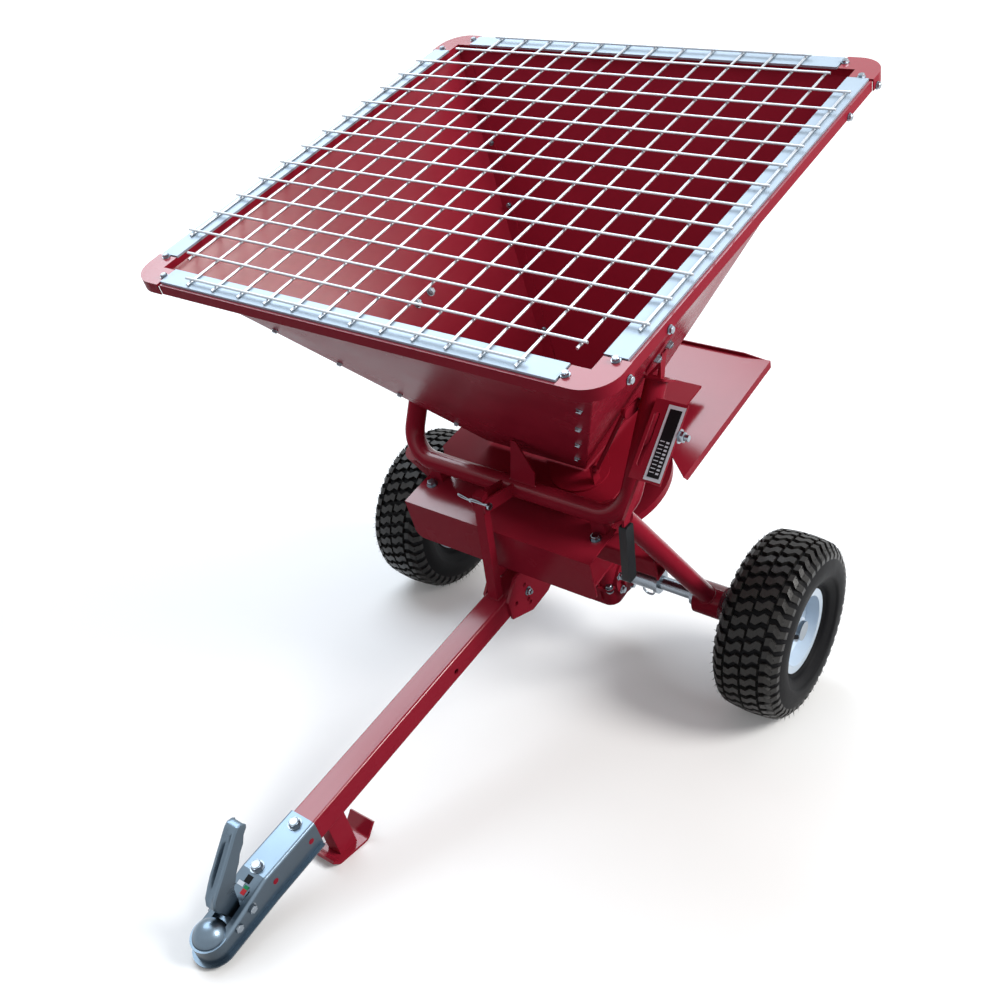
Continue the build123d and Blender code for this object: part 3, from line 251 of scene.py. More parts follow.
def hex_bolt_tree():
    """Geometry nodes: a washer, a crowned hexagon head and a thread end at each point."""
    tree, inlet, outlet = start_tree(
        "hexagon bolts",
        "GeometryNodeTree",
        ("Points", "INPUT", "Geometry"),
        ("Head Radius", "INPUT", "Float"),
        ("Head Height", "INPUT", "Float"),
        ("Washer Radius", "INPUT", "Float"),
        ("Thread", "INPUT", "Float"),
        ("Plating", "INPUT", "Material"),
        ("Bolts", "OUTPUT", "Geometry"),
    )
    washer_thick = 0.0014
    washer = tree.nodes.new("GeometryNodeMeshCone")
    washer.inputs["Vertices"].default_value = 18
    washer.inputs["Depth"].default_value = washer_thick
    head = tree.nodes.new("GeometryNodeMeshCone")
    head.inputs["Vertices"].default_value = 6
    head_up = tree.nodes.new("GeometryNodeTransform")
    head_up.inputs["Translation"].default_value = (0.0, 0.0, washer_thick)
    crown = tree.nodes.new("GeometryNodeMeshCone")
    crown.inputs["Vertices"].default_value = 12
    crown.inputs["Depth"].default_value = 0.0009
    crown_top = tree.nodes.new("ShaderNodeMath")
    crown_top.operation = "MULTIPLY"
    crown_top.inputs[1].default_value = 0.72
    crown_base = tree.nodes.new("ShaderNodeMath")
    crown_base.operation = "MULTIPLY"
    crown_base.inputs[1].default_value = 0.88
    crown_lift = tree.nodes.new("ShaderNodeMath")
    crown_lift.inputs[1].default_value = washer_thick
    crown_place = tree.nodes.new("ShaderNodeCombineXYZ")
    crown_up = tree.nodes.new("GeometryNodeTransform")
    thread = tree.nodes.new("GeometryNodeMeshCone")
    thread.inputs["Vertices"].default_value = 12
    thread_radius = tree.nodes.new("ShaderNodeMath")
    thread_radius.operation = "MULTIPLY"
    thread_radius.inputs[1].default_value = 0.56
    thread_up = tree.nodes.new("GeometryNodeTransform")
    bolt = tree.nodes.new("GeometryNodeJoinGeometry")
    axis = tree.nodes.new("GeometryNodeInputNamedAttribute")
    axis.data_type = "FLOAT_VECTOR"
    axis.inputs["Name"].default_value = "axis"
    turn = tree.nodes.new("FunctionNodeAlignRotationToVector")
    turn.axis = "Z"
    fit = tree.nodes.new("GeometryNodeInstanceOnPoints")
    solid = tree.nodes.new("GeometryNodeRealizeInstances")
    plate = tree.nodes.new("GeometryNodeSetMaterial")
    wires = (
        (inlet.outputs["Washer Radius"], washer.inputs["Radius Top"]),
        (inlet.outputs["Washer Radius"], washer.inputs["Radius Bottom"]),
        (inlet.outputs["Head Radius"], head.inputs["Radius Top"]),
        (inlet.outputs["Head Radius"], head.inputs["Radius Bottom"]),
        (inlet.outputs["Head Height"], head.inputs["Depth"]),
        (head.outputs["Mesh"], head_up.inputs["Geometry"]),
        (inlet.outputs["Head Radius"], crown_top.inputs[0]),
        (inlet.outputs["Head Radius"], crown_base.inputs[0]),
        (crown_top.outputs[0], crown.inputs["Radius Top"]),
        (crown_base.outputs[0], crown.inputs["Radius Bottom"]),
        (inlet.outputs["Head Height"], crown_lift.inputs[0]),
        (crown_lift.outputs[0], crown_place.inputs["Z"]),
        (crown.outputs["Mesh"], crown_up.inputs["Geometry"]),
        (crown_place.outputs[0], crown_up.inputs["Translation"]),
        (inlet.outputs["Head Radius"], thread_radius.inputs[0]),
        (thread_radius.outputs[0], thread.inputs["Radius Top"]),
        (thread_radius.outputs[0], thread.inputs["Radius Bottom"]),
        (inlet.outputs["Thread"], thread.inputs["Depth"]),
        (thread.outputs["Mesh"], thread_up.inputs["Geometry"]),
        (crown_place.outputs[0], thread_up.inputs["Translation"]),
        (washer.outputs["Mesh"], bolt.inputs[0]),
        (head_up.outputs["Geometry"], bolt.inputs[0]),
        (crown_up.outputs["Geometry"], bolt.inputs[0]),
        (thread_up.outputs["Geometry"], bolt.inputs[0]),
        (inlet.outputs["Points"], fit.inputs["Points"]),
        (bolt.outputs["Geometry"], fit.inputs["Instance"]),
        (axis.outputs["Attribute"], turn.inputs["Vector"]),
        (turn.outputs["Rotation"], fit.inputs["Rotation"]),
        (fit.outputs["Instances"], solid.inputs["Geometry"]),
        (solid.outputs["Geometry"], plate.inputs["Geometry"]),
        (inlet.outputs["Plating"], plate.inputs["Material"]),
        (plate.outputs["Geometry"], outlet.inputs["Bolts"]),
    )
    link_all(tree, wires)
    return tree


hex_bolts = hex_bolt_tree()


def run_tree(piece, tree, **values):
    """Runs a geometry tree on a piece and keeps the result as its plain mesh."""
    modifier = piece.modifiers.new("shape", "NODES")
    modifier.node_group = tree
    entries = [item for item in tree.interface.items_tree if item.in_out == "INPUT"]
    sockets = {entry.name: entry.identifier for entry in entries}
    for name, value in values.items():
        modifier[sockets[name.replace("_", " ")]] = value
    graph = bpy.context.evaluated_depsgraph_get()
    mesh = bpy.data.meshes.new_from_object(piece.evaluated_get(graph), depsgraph=graph)
    piece.modifiers.remove(modifier)
    piece.data = mesh


def add_piece(name, points, faces, body, slot, material=None, edges=()):
    """A mesh object at the origin that rides on a body and takes the material, if one is given. The
    slot is not used.
    """
    mesh = bpy.data.meshes.new(name)
    mesh.from_pydata([tuple(point) for point in points], edges, faces)
    if material:
        mesh.materials.append(material)
    piece = bpy.data.objects.new(name, mesh)
    bpy.context.scene.collection.objects.link(piece)
    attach(piece, body)
    return piece


def add_bolts(name, places, size, body="chassis", thread=0.0):
    """Bolts for a thread of this size in millimetres, each at a place and along a direction."""
    piece = add_piece(name, [place for place, axis in places], [], body, "zinc")
    axes = piece.data.attributes.new("axis", "FLOAT_VECTOR", "POINT")
    for item, (place, axis) in zip(axes.data, places):
        item.vector = axis
    head_radius, head_height, washer_radius = 0.00096, 0.00066, 0.00118
    run_tree(
        piece,
        hex_bolts,
        Head_Radius=size * head_radius,
        Head_Height=size * head_height,
        Washer_Radius=size * washer_radius,
        Thread=thread / 1000.0,
        Plating=bright_zinc,
    )


# Bracket bolts: zinc plated, two through each side wall of the hopper and the bracket's plate on
# it, with a head outside and a nut inside. A wall's places are measured up its slope.
hopper_middle = 12.0
hopper_low = 408.0
hopper_low_half = 118.0
wall_out = 314.0 / 622.0
wall_rise = 537.0 / 622.0


def wall_spot(out_x, out_y, along, slope, off):
    """A place on a hopper wall: its outward side, along it, up its slope and off its outer face."""
    half = hopper_low_half + slope * wall_out + off * wall_rise
    x = out_x * half - out_y * along
    y = hopper_middle + out_y * half + out_x * along
    return spot(x, y, hopper_low + slope * wall_rise - off * wall_out)


def wall_way(out_x, out_y):
    """The direction straight out of a hopper wall."""
    return way(out_x * wall_rise, out_y * wall_rise, -wall_out)


bracket_slope = 295
bracket_face = 3.4
wall_inside = -2.1
bracket_bolts = []
for out in (-1, 1):
    outward = wall_way(out, 0)
    for along in (-8, -50):
        head = wall_spot(out, 0, out * along, bracket_slope, bracket_face)
        nut = wall_spot(out, 0, out * along, bracket_slope, wall_inside)
        bracket_bolts += [(head, outward), (nut, -outward)]
add_bolts("bracket_bolts", bracket_bolts, 8, thread=3)

# Welds: beads of overlapping drops where tubes and plates of the frame, drawbar and foot meet.
# They are laid before the powder coat, so they are as red as what they join.


def weld_tree():
    """Geometry nodes: sets a drop of weld every few millimetres along each path."""
    tree, inlet, outlet = start_tree(
        "weld beads",
        "GeometryNodeTree",
        ("Paths", "INPUT", "Geometry"),
        ("Drop Radius", "INPUT", "Float"),
        ("Step", "INPUT", "Float"),
        ("Finish", "INPUT", "Material"),
        ("Beads", "OUTPUT", "Geometry"),
    )
    line = tree.nodes.new("GeometryNodeMeshToCurve")
    even = tree.nodes.new("GeometryNodeResampleCurve")
    even.mode = "LENGTH"
    drop = tree.nodes.new("GeometryNodeMeshUVSphere")
    drop.inputs["Segments"].default_value = 8
    drop.inputs["Rings"].default_value = 5
    place = tree.nodes.new("GeometryNodeInstanceOnPoints")
    solid = tree.nodes.new("GeometryNodeRealizeInstances")
    smooth = tree.nodes.new("GeometryNodeSetShadeSmooth")
    finish = tree.nodes.new("GeometryNodeSetMaterial")
    wires = (
        (inlet.outputs["Paths"], line.inputs["Mesh"]),
        (line.outputs["Curve"], even.inputs["Curve"]),
        (inlet.outputs["Step"], even.inputs["Length"]),
        (inlet.outputs["Drop Radius"], drop.inputs["Radius"]),
        (even.outputs["Curve"], place.inputs["Points"]),
        (drop.outputs["Mesh"], place.inputs["Instance"]),
        (place.outputs["Instances"], solid.inputs["Geometry"]),
        (solid.outputs["Geometry"], smooth.inputs["Geometry"]),
        (smooth.outputs["Geometry"], finish.inputs["Geometry"]),
        (inlet.outputs["Finish"], finish.inputs["Material"]),
        (finish.outputs["Geometry"], outlet.inputs["Beads"]),
    )
    link_all(tree, wires)
    return tree


bar_rise = math.radians(3.3)
bar_pivot_y = -260.0
bar_pivot_z = 182.0


def bar_spot(ahead, x, up):
    """A place on the drawbar: ahead of its pivot bolt, beside it and above its middle."""
    y = bar_pivot_y - ahead * math.cos(bar_rise) + up * math.sin(bar_rise)
    return spot(x, y, bar_pivot_z + ahead * math.sin(bar_rise) + up * math.cos(bar_rise))


tube_radius = 20.0
upright = math.radians(53)
post_x = 260.1
post_top_y = -32.3
post_top_z = 609.2
housing_x = 288.0
housing_radius = 36.0
arm_top = Vector((247.1, -186.0, 404.0))
beam_half = 246.0
beam_corners = ((-117, 165), (-67, 165), (-67, 215), (-117, 215))
pivot_plate_faces = (25.3, 31.3)
pivot_plate_end = ((-117.3, 168), (-117.3, 212))
bar_face = 25.2
foot_corners = ((562, -15), (602, -15), (602, 15), (562, 15))
stay_corners = ((49, -11), (67, -11), (67, 11), (49, 11))
front_bracket_foot = ((5, -192, 420.4), (60, -192, 420.4))
ring_steps = 24
weld_paths = []
for sign in (-1, 1):
    cap_ring, arm_ring = [], []
    housing = Vector((sign * housing_x, 0, 0))
    arm = (Vector((sign * arm_top.x, arm_top.y, arm_top.z)) - housing).normalized()
    arm_side = arm.orthogonal().normalized()
    for step in range(ring_steps):
        angle = 2.0 * math.pi * step / ring_steps
        back = tube_radius * math.sin(angle)
        cap_ring.append(
            spot(
                sign * post_x + tube_radius * math.cos(angle),
                post_top_y + back * math.sin(upright),
                post_top_z - back * math.cos(upright),
            )
        )
        offset = Matrix.Rotation(angle, 3, arm) @ arm_side * tube_radius
        along = Vector((arm.y, arm.z))
        across = Vector((offset.y, offset.z))
        half_b = along.dot(across) / along.length_squared
        rest = (across.length_squared - housing_radius**2) / along.length_squared
        reach = -half_b + math.sqrt(half_b**2 - rest)
        joint = housing + offset + arm * reach
        arm_ring.append(spot(*joint))
    weld_paths.append((cap_ring, True))
    weld_paths.append((arm_ring, True))
    weld_paths.append(([spot(sign * beam_half, y, z) for y, z in beam_corners], True))
    for plate_x in pivot_plate_faces:
        weld_paths.append(([spot(sign * plate_x, y, z) for y, z in pivot_plate_end], False))
weld_paths.append(([bar_spot(ahead, x, -bar_face) for ahead, x in foot_corners], True))
weld_paths.append(([bar_spot(ahead, x, bar_face) for ahead, x in stay_corners], True))
weld_paths.append(([spot(*place) for place in front_bracket_foot], False))
weld_points, weld_edges = [], []
for path, closed in weld_paths:
    first = len(weld_points)
    weld_points += path
    weld_edges += [(first + k, first + k + 1) for k in range(len(path) - 1)]
    if closed:
        weld_edges.append((first + len(path) - 1, first))
welds = add_piece("frame_welds", weld_points, [], "chassis", "red_paint", edges=weld_edges)
run_tree(welds, weld_tree(), Drop_Radius=0.0028, Step=0.0036, Finish=red_paint)

# Running gear: drive shaft of bright steel with a zinc plated sleeve, and the lynch pin that locks
# the sleeve to the gearbox's input.
coat_nodes(bright_zinc, "drive_shaft", "lynch_pin")

# Wheels: pressed steel rims in pale paint on plain bore hubs. The left one turns freely on its
# stub, the right one is fixed to the drive shaft. Each has a black valve through its disc.
rim_paint = finish_material(
    "pale rim paint",
    dark=(0.55, 0.66, 0.78),
    light=(0.62, 0.72, 0.83),
    relief_scale=600.0,
    relief_height=0.00005,
    shiny=0.3,
    dull=0.4,
)
coat_nodes(rim_paint, "rim_left", "rim_right")
grip_plastic = finish_material(
    "black moulded plastic",
    dark=(0.006, 0.007, 0.009),
    light=(0.012, 0.013, 0.016),
    relief_scale=900.0,
    relief_height=0.00008,
    shiny=0.3,
    dull=0.42,
    Specular_IOR_Level=0.2,
)
sides = (("left", -1), ("right", 1))
wheel_middle = {sign: Vector(joints[f"wheel_{side}_spin"]["pos_m"]) for side, sign in sides}


def lathe(profile, start, axis, steps):
    """Points and faces of a turned shape: (along, radius) in millimetres from start along axis."""
    axis = axis.normalized()
    side_a = axis.orthogonal().normalized()
    side_b = axis.cross(side_a)
    points, faces = [], []
    for along, radius in profile:
        for step in range(steps):
            angle = 2.0 * math.pi * step / steps
            swing = side_a * math.cos(angle) + side_b * math.sin(angle)
            points.append(start + (axis * along + swing * radius) / 1000.0)
    for ring in range(len(profile) - 1):
        for step in range(steps):
            after = (step + 1) % steps
            low, high = ring * steps, (ring + 1) * steps
            faces.append((low + step, low + after, high + after, high + step))
    faces.append(tuple(reversed(range(steps))))
    faces.append(tuple(range(len(points) - steps, len(points))))
    return points, faces


valve_profile = ((0, 7.5), (6, 7.0), (9, 4.8), (22, 4.2), (23, 5.0), (31, 5.0), (33, 3.6))
for side, sign in sides:
    foot = wheel_middle[sign] + Vector((sign * 26.0, -56.0, 6.0)) / 1000.0
    lean = Vector((sign * 0.8, 0.5, 0.1))
    points, faces = lathe(valve_profile, foot, lean, steps=14)
    add_piece(f"tyre_valve_{side}", points, faces, f"wheel_{side}", "grip", grip_plastic)

# Tyres: low turf tyres of black rubber, moulded with interlocking bent blocks in four rows, a
# toothed shoulder, raised rings on each side wall and the mould's fine hairs.
tyre_rubber = finish_material(
    "black tyre rubber",
    dark=(0.003, 0.003, 0.004),
    light=(0.007, 0.007, 0.008),
    relief_scale=260.0,
    relief_height=0.0003,
    shiny=0.5,
    dull=0.66,
    Specular_IOR_Level=0.1,
)
tread_rubber = finish_material(
    "scuffed tread rubber",
    dark=(0.010, 0.010, 0.010),
    light=(0.024, 0.022, 0.020),
    relief_scale=420.0,
    relief_height=0.0003,
    shiny=0.36,
    dull=0.5,
    Specular_IOR_Level=0.3,
)
tyre_segments = 96
side_wall = (
    (46.0, 78.4),
    (46.0, 92.0),
    (52.0, 95.5),
    (54.5, 99.0),
    (56.5, 98.6),
    (61.0, 106.0),
    (66.0, 115.0),
    (68.2, 119.0),
    (70.2, 119.6),
    (71.5, 126.0),
    (72.4, 134.0),
    (72.2, 142.0),
    (70.4, 152.0),
    (67.4, 161.5),
    (63.6, 168.5),
    (57.0, 174.0),
    (46.0, 178.5),
    (24.0, 181.6),
    (0.0, 182.4),
)
pitches = 44
pitch_turn = 2.0 * math.pi / pitches


def crown_height(x):
    """Radius of the block tops across the tread."""
    crown_half, crown_radius, crown_drop, shoulder_slope = 54.0, 190.4, 5.4, 1.35
    out = abs(x) / crown_half
    if out <= 1.0:
        return crown_radius - crown_drop * out**2
    return crown_radius - crown_drop - (abs(x) - crown_half) * shoulder_slope


def tread_pitch():
    """Points and faces of the blocks in one pitch, round the X axis."""
    points, faces = [], []
    block_half = 0.32
    block_bend = 0.19
    block_rows = (
        (-69.0, -38.0, 0.0, -1),
        (-35.0, -1.5, 0.5, 1),
        (1.5, 35.0, 0.0, 1),
        (38.0, 69.0, 0.5, -1),
    )
    for left, right, phase, lean in block_rows:
        width = right - left
        middle = (left + right) / 2.0
        bends = ((0.0, 0.6), (0.34, 1.0), (0.66, -1.0), (1.0, -0.6))
        stations = [(left + width * share, lean * lift * block_bend) for share, lift in bends]
        count = len(stations)
        first = len(points)
        for depth, inset, squeeze in ((-9.5, 0.0, 1.0), (0.0, 0.045, 0.93)):
            for edge in (-1, 1):
                for x, lift in stations:
                    across = middle + (x - middle) * squeeze
                    angle = (phase + lift + edge * (block_half - inset)) * pitch_turn
                    radius = (crown_height(across) + depth) / 1000.0
                    swing = (radius * math.cos(angle), radius * math.sin(angle))
                    points.append((across / 1000.0, *swing))
        low, top = first, first + 2 * count
        for k in range(count - 1):
            near, near_top = low + k, top + k
            far, far_top = near + count, near_top + count
            faces.append((near_top, near_top + 1, far_top + 1, far_top))
            faces.append((near, near + 1, near_top + 1, near_top))
            faces.append((far + 1, far, far_top, far_top + 1))
        faces.append((low + count, low, top, top + count))
        faces.append((low + count - 1, low + 2 * count - 1, top + 2 * count - 1, top + count - 1))
    return points, faces


def hair_pitch():
    """Points and faces of the moulding hairs in one pitch: thin spikes on the shoulders."""
    points, faces = [], []
    hair_half = 0.6
    hairs = (
        (-65, 0.0, 12, -3),
        (-60, 0.4, 10, 1),
        (-52, 0.8, 4, 2),
        (52, 0.2, 4, -2),
        (60, 0.6, 10, 2),
        (65, 0.9, 12, 3),
    )
    for x, phase, length, lean in hairs:
        angle = phase * pitch_turn
        foot = crown_height(x) - 1.0
        first = len(points)
        for side, turn in ((-1, 0.0), (1, 0.0), (0, 2.0 * hair_half / foot)):
            spin = angle + turn
            root = Vector((x + side * hair_half, foot * math.cos(spin), foot * math.sin(spin)))
            points.append(root / 1000.0)
        spin = angle + lean / foot
        tip = foot + length
        points.append(Vector((x + lean, tip * math.cos(spin), tip * math.sin(spin))) / 1000.0)
        faces += [(first, first + 2, first + 1), (first, first + 1, first + 3)]
        faces += [(first + 1, first + 2, first + 3), (first + 2, first, first + 3)]
    return points, faces


def ring_tree():
    """Geometry nodes: repeats a shape around the X axis and sets it on its centre."""
    tree, inlet, outlet = start_tree(
        "repeat round axle",
        "GeometryNodeTree",
        ("Shape", "INPUT", "Geometry"),
        ("Count", "INPUT", "Int"),
        ("Centre", "INPUT", "Vector"),
        ("Finish", "INPUT", "Material"),
        ("Ring", "OUTPUT", "Geometry"),
    )
    line = tree.nodes.new("GeometryNodeMeshLine")
    line.inputs["Offset"].default_value = (0.0, 0.0, 0.0)
    number = tree.nodes.new("GeometryNodeInputIndex")
    share = tree.nodes.new("ShaderNodeMath")
    share.operation = "DIVIDE"
    share.inputs[0].default_value = 2.0 * math.pi
    angle = tree.nodes.new("ShaderNodeMath")
    angle.operation = "MULTIPLY"
    turn = tree.nodes.new("ShaderNodeCombineXYZ")
    place = tree.nodes.new("GeometryNodeInstanceOnPoints")
    solid = tree.nodes.new("GeometryNodeRealizeInstances")
    move = tree.nodes.new("GeometryNodeTransform")
    finish = tree.nodes.new("GeometryNodeSetMaterial")
    wires = (
        (inlet.outputs["Count"], line.inputs["Count"]),
        (inlet.outputs["Count"], share.inputs[1]),
        (share.outputs[0], angle.inputs[0]),
        (number.outputs[0], angle.inputs[1]),
        (angle.outputs[0], turn.inputs["X"]),
        (line.outputs["Mesh"], place.inputs["Points"]),
        (inlet.outputs["Shape"], place.inputs["Instance"]),
        (turn.outputs[0], place.inputs["Rotation"]),
        (place.outputs["Instances"], solid.inputs["Geometry"]),
        (solid.outputs["Geometry"], move.inputs["Geometry"]),
        (inlet.outputs["Centre"], move.inputs["Translation"]),
        (move.outputs["Geometry"], finish.inputs["Geometry"]),
        (inlet.outputs["Finish"], finish.inputs["Material"]),
        (finish.outputs["Geometry"], outlet.inputs["Ring"]),
    )
    link_all(tree, wires)
    return tree


repeat_round_axle = ring_tree()
profile = [(-x, r) for x, r in side_wall] + [(x, r) for x, r in reversed(side_wall[:-1])]
count = len(profile)
reliefs = (("tread", tread_pitch, tread_rubber), ("hairs", hair_pitch, tyre_rubber))
for side, sign in sides:
    middle = wheel_middle[sign]
    points, faces = [], []
    for step in range(tyre_segments):
        angle = 2.0 * math.pi * step / tyre_segments
        for x, r in profile:
            points.append(middle + Vector((x, r * math.cos(angle), r * math.sin(angle))) / 1000.0)
    for step in range(tyre_segments):
        here, there = step * count, (step + 1) % tyre_segments * count
        for k in range(count):
            after = (k + 1) % count
            faces.append((here + k, there + k, there + after, here + after))
    carcass = add_piece(f"tyre_carcass_{side}", points, faces, f"wheel_{side}", "tyre", tyre_rubber)
    carcass.data.shade_smooth()
    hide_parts(f"tyre_{side}")
    for relief, pitch, rubber in reliefs:
        ring = add_piece(f"tyre_{relief}_{side}", *pitch(), f"wheel_{side}", "tyre")
        run_tree(ring, repeat_round_axle, Count=pitches, Centre=middle, Finish=rubber)

# Gearbox and spreading gear: red cast gearbox hung from a folded cradle, bright shaft, and a red
# pressed disc with four bolted vanes.
coat_nodes(red_paint, "gearbox", "gearbox_cradle", "spinner_disc")
coat_nodes(bright_zinc, "spinner_shaft")
cover_face = 86.1
cover_ring = 43
flange_face = 4.1
box_bolts = []
for step in range(6):
    angle = math.radians(60 * step + 30)
    y, z = cover_ring * math.cos(angle), cover_ring * math.sin(angle)
    box_bolts.append((spot(cover_face, y, z), way(1, 0, 0)))
for x in (-42, 72):
    for y in (-62, 62):
        for up in (1, -1):
            box_bolts.append((spot(x, y, up * flange_face), way(0, 0, up)))
add_bolts("gearbox_bolts", box_bolts, 8)
vane_turn = 28
vane_aside = 4
vane_top = 268.1
disc_below = 261.9
vane_bolts = []
for step in range(4):
    angle = math.radians(90 * step + vane_turn)
    for out in (80, 160):
        x = out * math.cos(angle) - vane_aside * math.sin(angle)
        y = hopper_middle + out * math.sin(angle) + vane_aside * math.cos(angle)
        vane_bolts.append((spot(x, y, vane_top), way(0, 0, 1)))
        vane_bolts.append((spot(x, y, disc_below), way(0, 0, -1)))
add_bolts("vane_bolts", vane_bolts, 6, body="spinner")

# Deck, hood and guard: folded red sheet round the disc. Deck and shutter lie below the hopper;
# they and the link rod take a darker copy of the red as painted shade. The guard is bolted to the
# lugs of the hoop.
coat_nodes(red_paint, "hood", "guard")
# Painted shade: a darker, rougher copy of the red for the parts in the hopper's shade.
shaded_red_paint = finish_material(
    "red powder coat in painted shade",
    dark=(0.225, 0.007, 0.018),
    light=(0.275, 0.009, 0.024),
    relief_scale=700.0,
    relief_height=0.00006,
    shiny=0.4,
    dull=0.5,
    Specular_IOR_Level=0.08,
)
coat_nodes(shaded_red_paint, "deck", "shutter", "link_rod")
guard_lugs = ((-196, -213, 354.1), (196, -213, 354.1))
add_bolts("guard_bolts", [(spot(*lug), way(0, 0, 1)) for lug in guard_lugs], 10)

# Hopper: four folded red panels, bolted together down their corner seams, with pressed corner
# plates on the rim.
coat_nodes(red_paint, "hopper_front", "hopper_back", "hopper_left", "hopper_right", "rim_corners")
seam_inset = 20.0
seam_outside = 0.1
seam_inside = -4.4
corner_plate_top = 959.4
lip_middle = 942
seam_bolts, seam_nuts, rim_bolts = [], [], []
for out in (-1, 1):
    for side in (-1, 1):
        for slope in (85, 205, 325, 445, 565):
            along = side * (hopper_low_half + slope * wall_out - seam_inset)
            seam_bolts.append((wall_spot(0, out, along, slope, seam_outside), wall_way(0, out)))
            seam_nuts.append((wall_spot(0, out, along, slope, seam_inside), -wall_way(0, out)))
        for x, y in ((402, 450), (450, 402)):
            on_plate = spot(side * x, hopper_middle + out * y, corner_plate_top)
            rim_bolts.append((on_plate, way(0, 0, 1)))
        for run, face in ((412, 472.4), (300, 470.1)):
            on_lip = spot(side * face, hopper_middle + out * run, lip_middle)
            rim_bolts.append((on_lip, way(side, 0, 0)))
add_bolts("seam_bolts", seam_bolts, 5)
add_bolts("seam_nuts", seam_nuts, 5, thread=3)
add_bolts("rim_bolts", rim_bolts, 6)

# Rim strips and grid: galvanised flat bars on the rim, and a loose grid of welded wire on them
# that keeps lumps out.
galvanised = finish_material(
    "galvanised steel",
    dark=(0.30, 0.37, 0.44),
    light=(0.40, 0.48, 0.56),
    relief_scale=120.0,
    relief_height=0.00012,
    shiny=0.42,
    dull=0.56,
    Metallic=0.5,
)
coat_nodes(galvanised, "rim_strips")
wire_zinc = finish_material(
    "drawn zinc wire",
    dark=(0.50, 0.54, 0.58),
    light=(0.62, 0.65, 0.68),
    relief_scale=200.0,
    relief_height=0.00008,
    shiny=0.3,
    dull=0.42,
    Metallic=0.7,
)
coat_nodes(wire_zinc, "wire_grid")

# Drawbar: red square tube between two pivot plates, held up by a stay with a pin and spring clip,
# and a skid foot welded below it.
coat_nodes(red_paint, "drawbar", "pivot_plates", "stay", "skid_foot")
coat_nodes(bright_zinc, "stay_pin")
pivot_face = 31.4
pivot_bolts = []
for sign in (-1, 1):
    pivot_bolts.append((spot(sign * pivot_face, bar_pivot_y, bar_pivot_z), way(sign, 0, 0)))
add_bolts("pivot_bolts", pivot_bolts, 8, thread=4)


def add_wire(name, places, radius, body, material):
    """A round wire bent smoothly through these places."""
    curve = bpy.data.curves.new(name, "CURVE")
    curve.dimensions = "3D"
    curve.bevel_depth = radius / 1000.0
    curve.bevel_resolution = 2
    curve.resolution_u = 6
    line = curve.splines.new("BEZIER")
    line.bezier_points.add(len(places) - 1)
    for point, place in zip(line.bezier_points, places):
        point.co = place
        point.handle_left_type = "AUTO"
        point.handle_right_type = "AUTO"
    bent = bpy.data.objects.new(name, curve)
    bpy.context.scene.collection.objects.link(bent)
    graph = bpy.context.evaluated_depsgraph_get()
    mesh = bpy.data.meshes.new_from_object(bent.evaluated_get(graph), depsgraph=graph)
    bpy.data.objects.remove(bent)
    mesh.materials.clear()
    mesh.materials.append(material)
    wire = bpy.data.objects.new(name, mesh)
    bpy.context.scene.collection.objects.link(wire)
    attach(wire, body)


clip_bends = (
    (30, 0),
    (-4, 0),
    (-28, 1),
    (-37, 7),
    (-33, 14),
    (-25, 11),
    (-15, 5),
    (-4, 9),
    (8, 9),
    (18, 4),
    (30, 8),
)
clip_y = -291
clip_z = 446
clip_places = [spot(x, clip_y - up / 3, clip_z + up) for x, up in clip_bends]
add_wire("stay_clip", clip_places, 1.4, "chassis", bright_zinc)

# Coupling: pressed and zinc plated ball coupling on the drawbar's end, bolted down from above. Its
# plating is painted darker on the flanks and lower faces, as painted shade. It has a wear window
# with marks and riveted cheeks.
pressed_zinc = finish_material(
    "passivated zinc pressing",
    dark=(0.15, 0.205, 0.26),
    light=(0.20, 0.265, 0.33),
    relief_scale=300.0,
    relief_height=0.00008,
    shiny=0.26,
    dull=0.38,
    Metallic=1.0,
)
zinc_tree = pressed_zinc.node_tree
zinc_colour = zinc_tree.nodes["Principled BSDF"].inputs["Base Color"]
plating = zinc_colour.links[0].from_socket
# Painted shade: faces that look sideways or down fade to a dark slate, upward faces keep the
# plating's colour.
zinc_upward = add_upward(zinc_tree, low=-0.3, high=0.7)
upper_end, flank_painted_shade = add_mix(zinc_tree, zinc_upward, dark=(0.055, 0.070, 0.085))
link_all(zinc_tree, ((plating, upper_end), (flank_painted_shade, zinc_colour)))
coat_nodes(pressed_zinc, "coupling")
bar_up = way(0, math.sin(bar_rise), math.cos(bar_rise))
shell_half = 28.3
coupling_bolts = [(bar_spot(ahead, 0, shell_half + 0.1), bar_up) for ahead in (645, 736)]
add_bolts("coupling_bolts", coupling_bolts, 10.5)
rivets = []
for sign in (-1, 1):
    for ahead, up in ((788, 6), (822, 0)):
        rivets.append((bar_spot(ahead, sign * shell_half, up), way(sign, 0, 0)))
add_bolts("coupling_rivets", rivets, 8)
hole_profile = ((0, 5.5), (0.3, 5.5))
for number, (ahead, up) in enumerate(((646, 0), (732, 3))):
    for side, sign in sides:
        flank = bar_spot(ahead, sign * shell_half, up)
        points, faces = lathe(hole_profile, flank, way(sign, 0, 0), steps=20)
        hole = f"coupling_hole_{side}_{number}"
        add_piece(hole, points, faces, "chassis", "red_paint", red_paint)


def outward_faces(piece):
    """Turns a closed mesh's faces outward."""
    form = bmesh.new()
    form.from_mesh(piece.data)
    bmesh.ops.recalc_face_normals(form, faces=form.faces)
    form.to_mesh(piece.data)
    form.free()


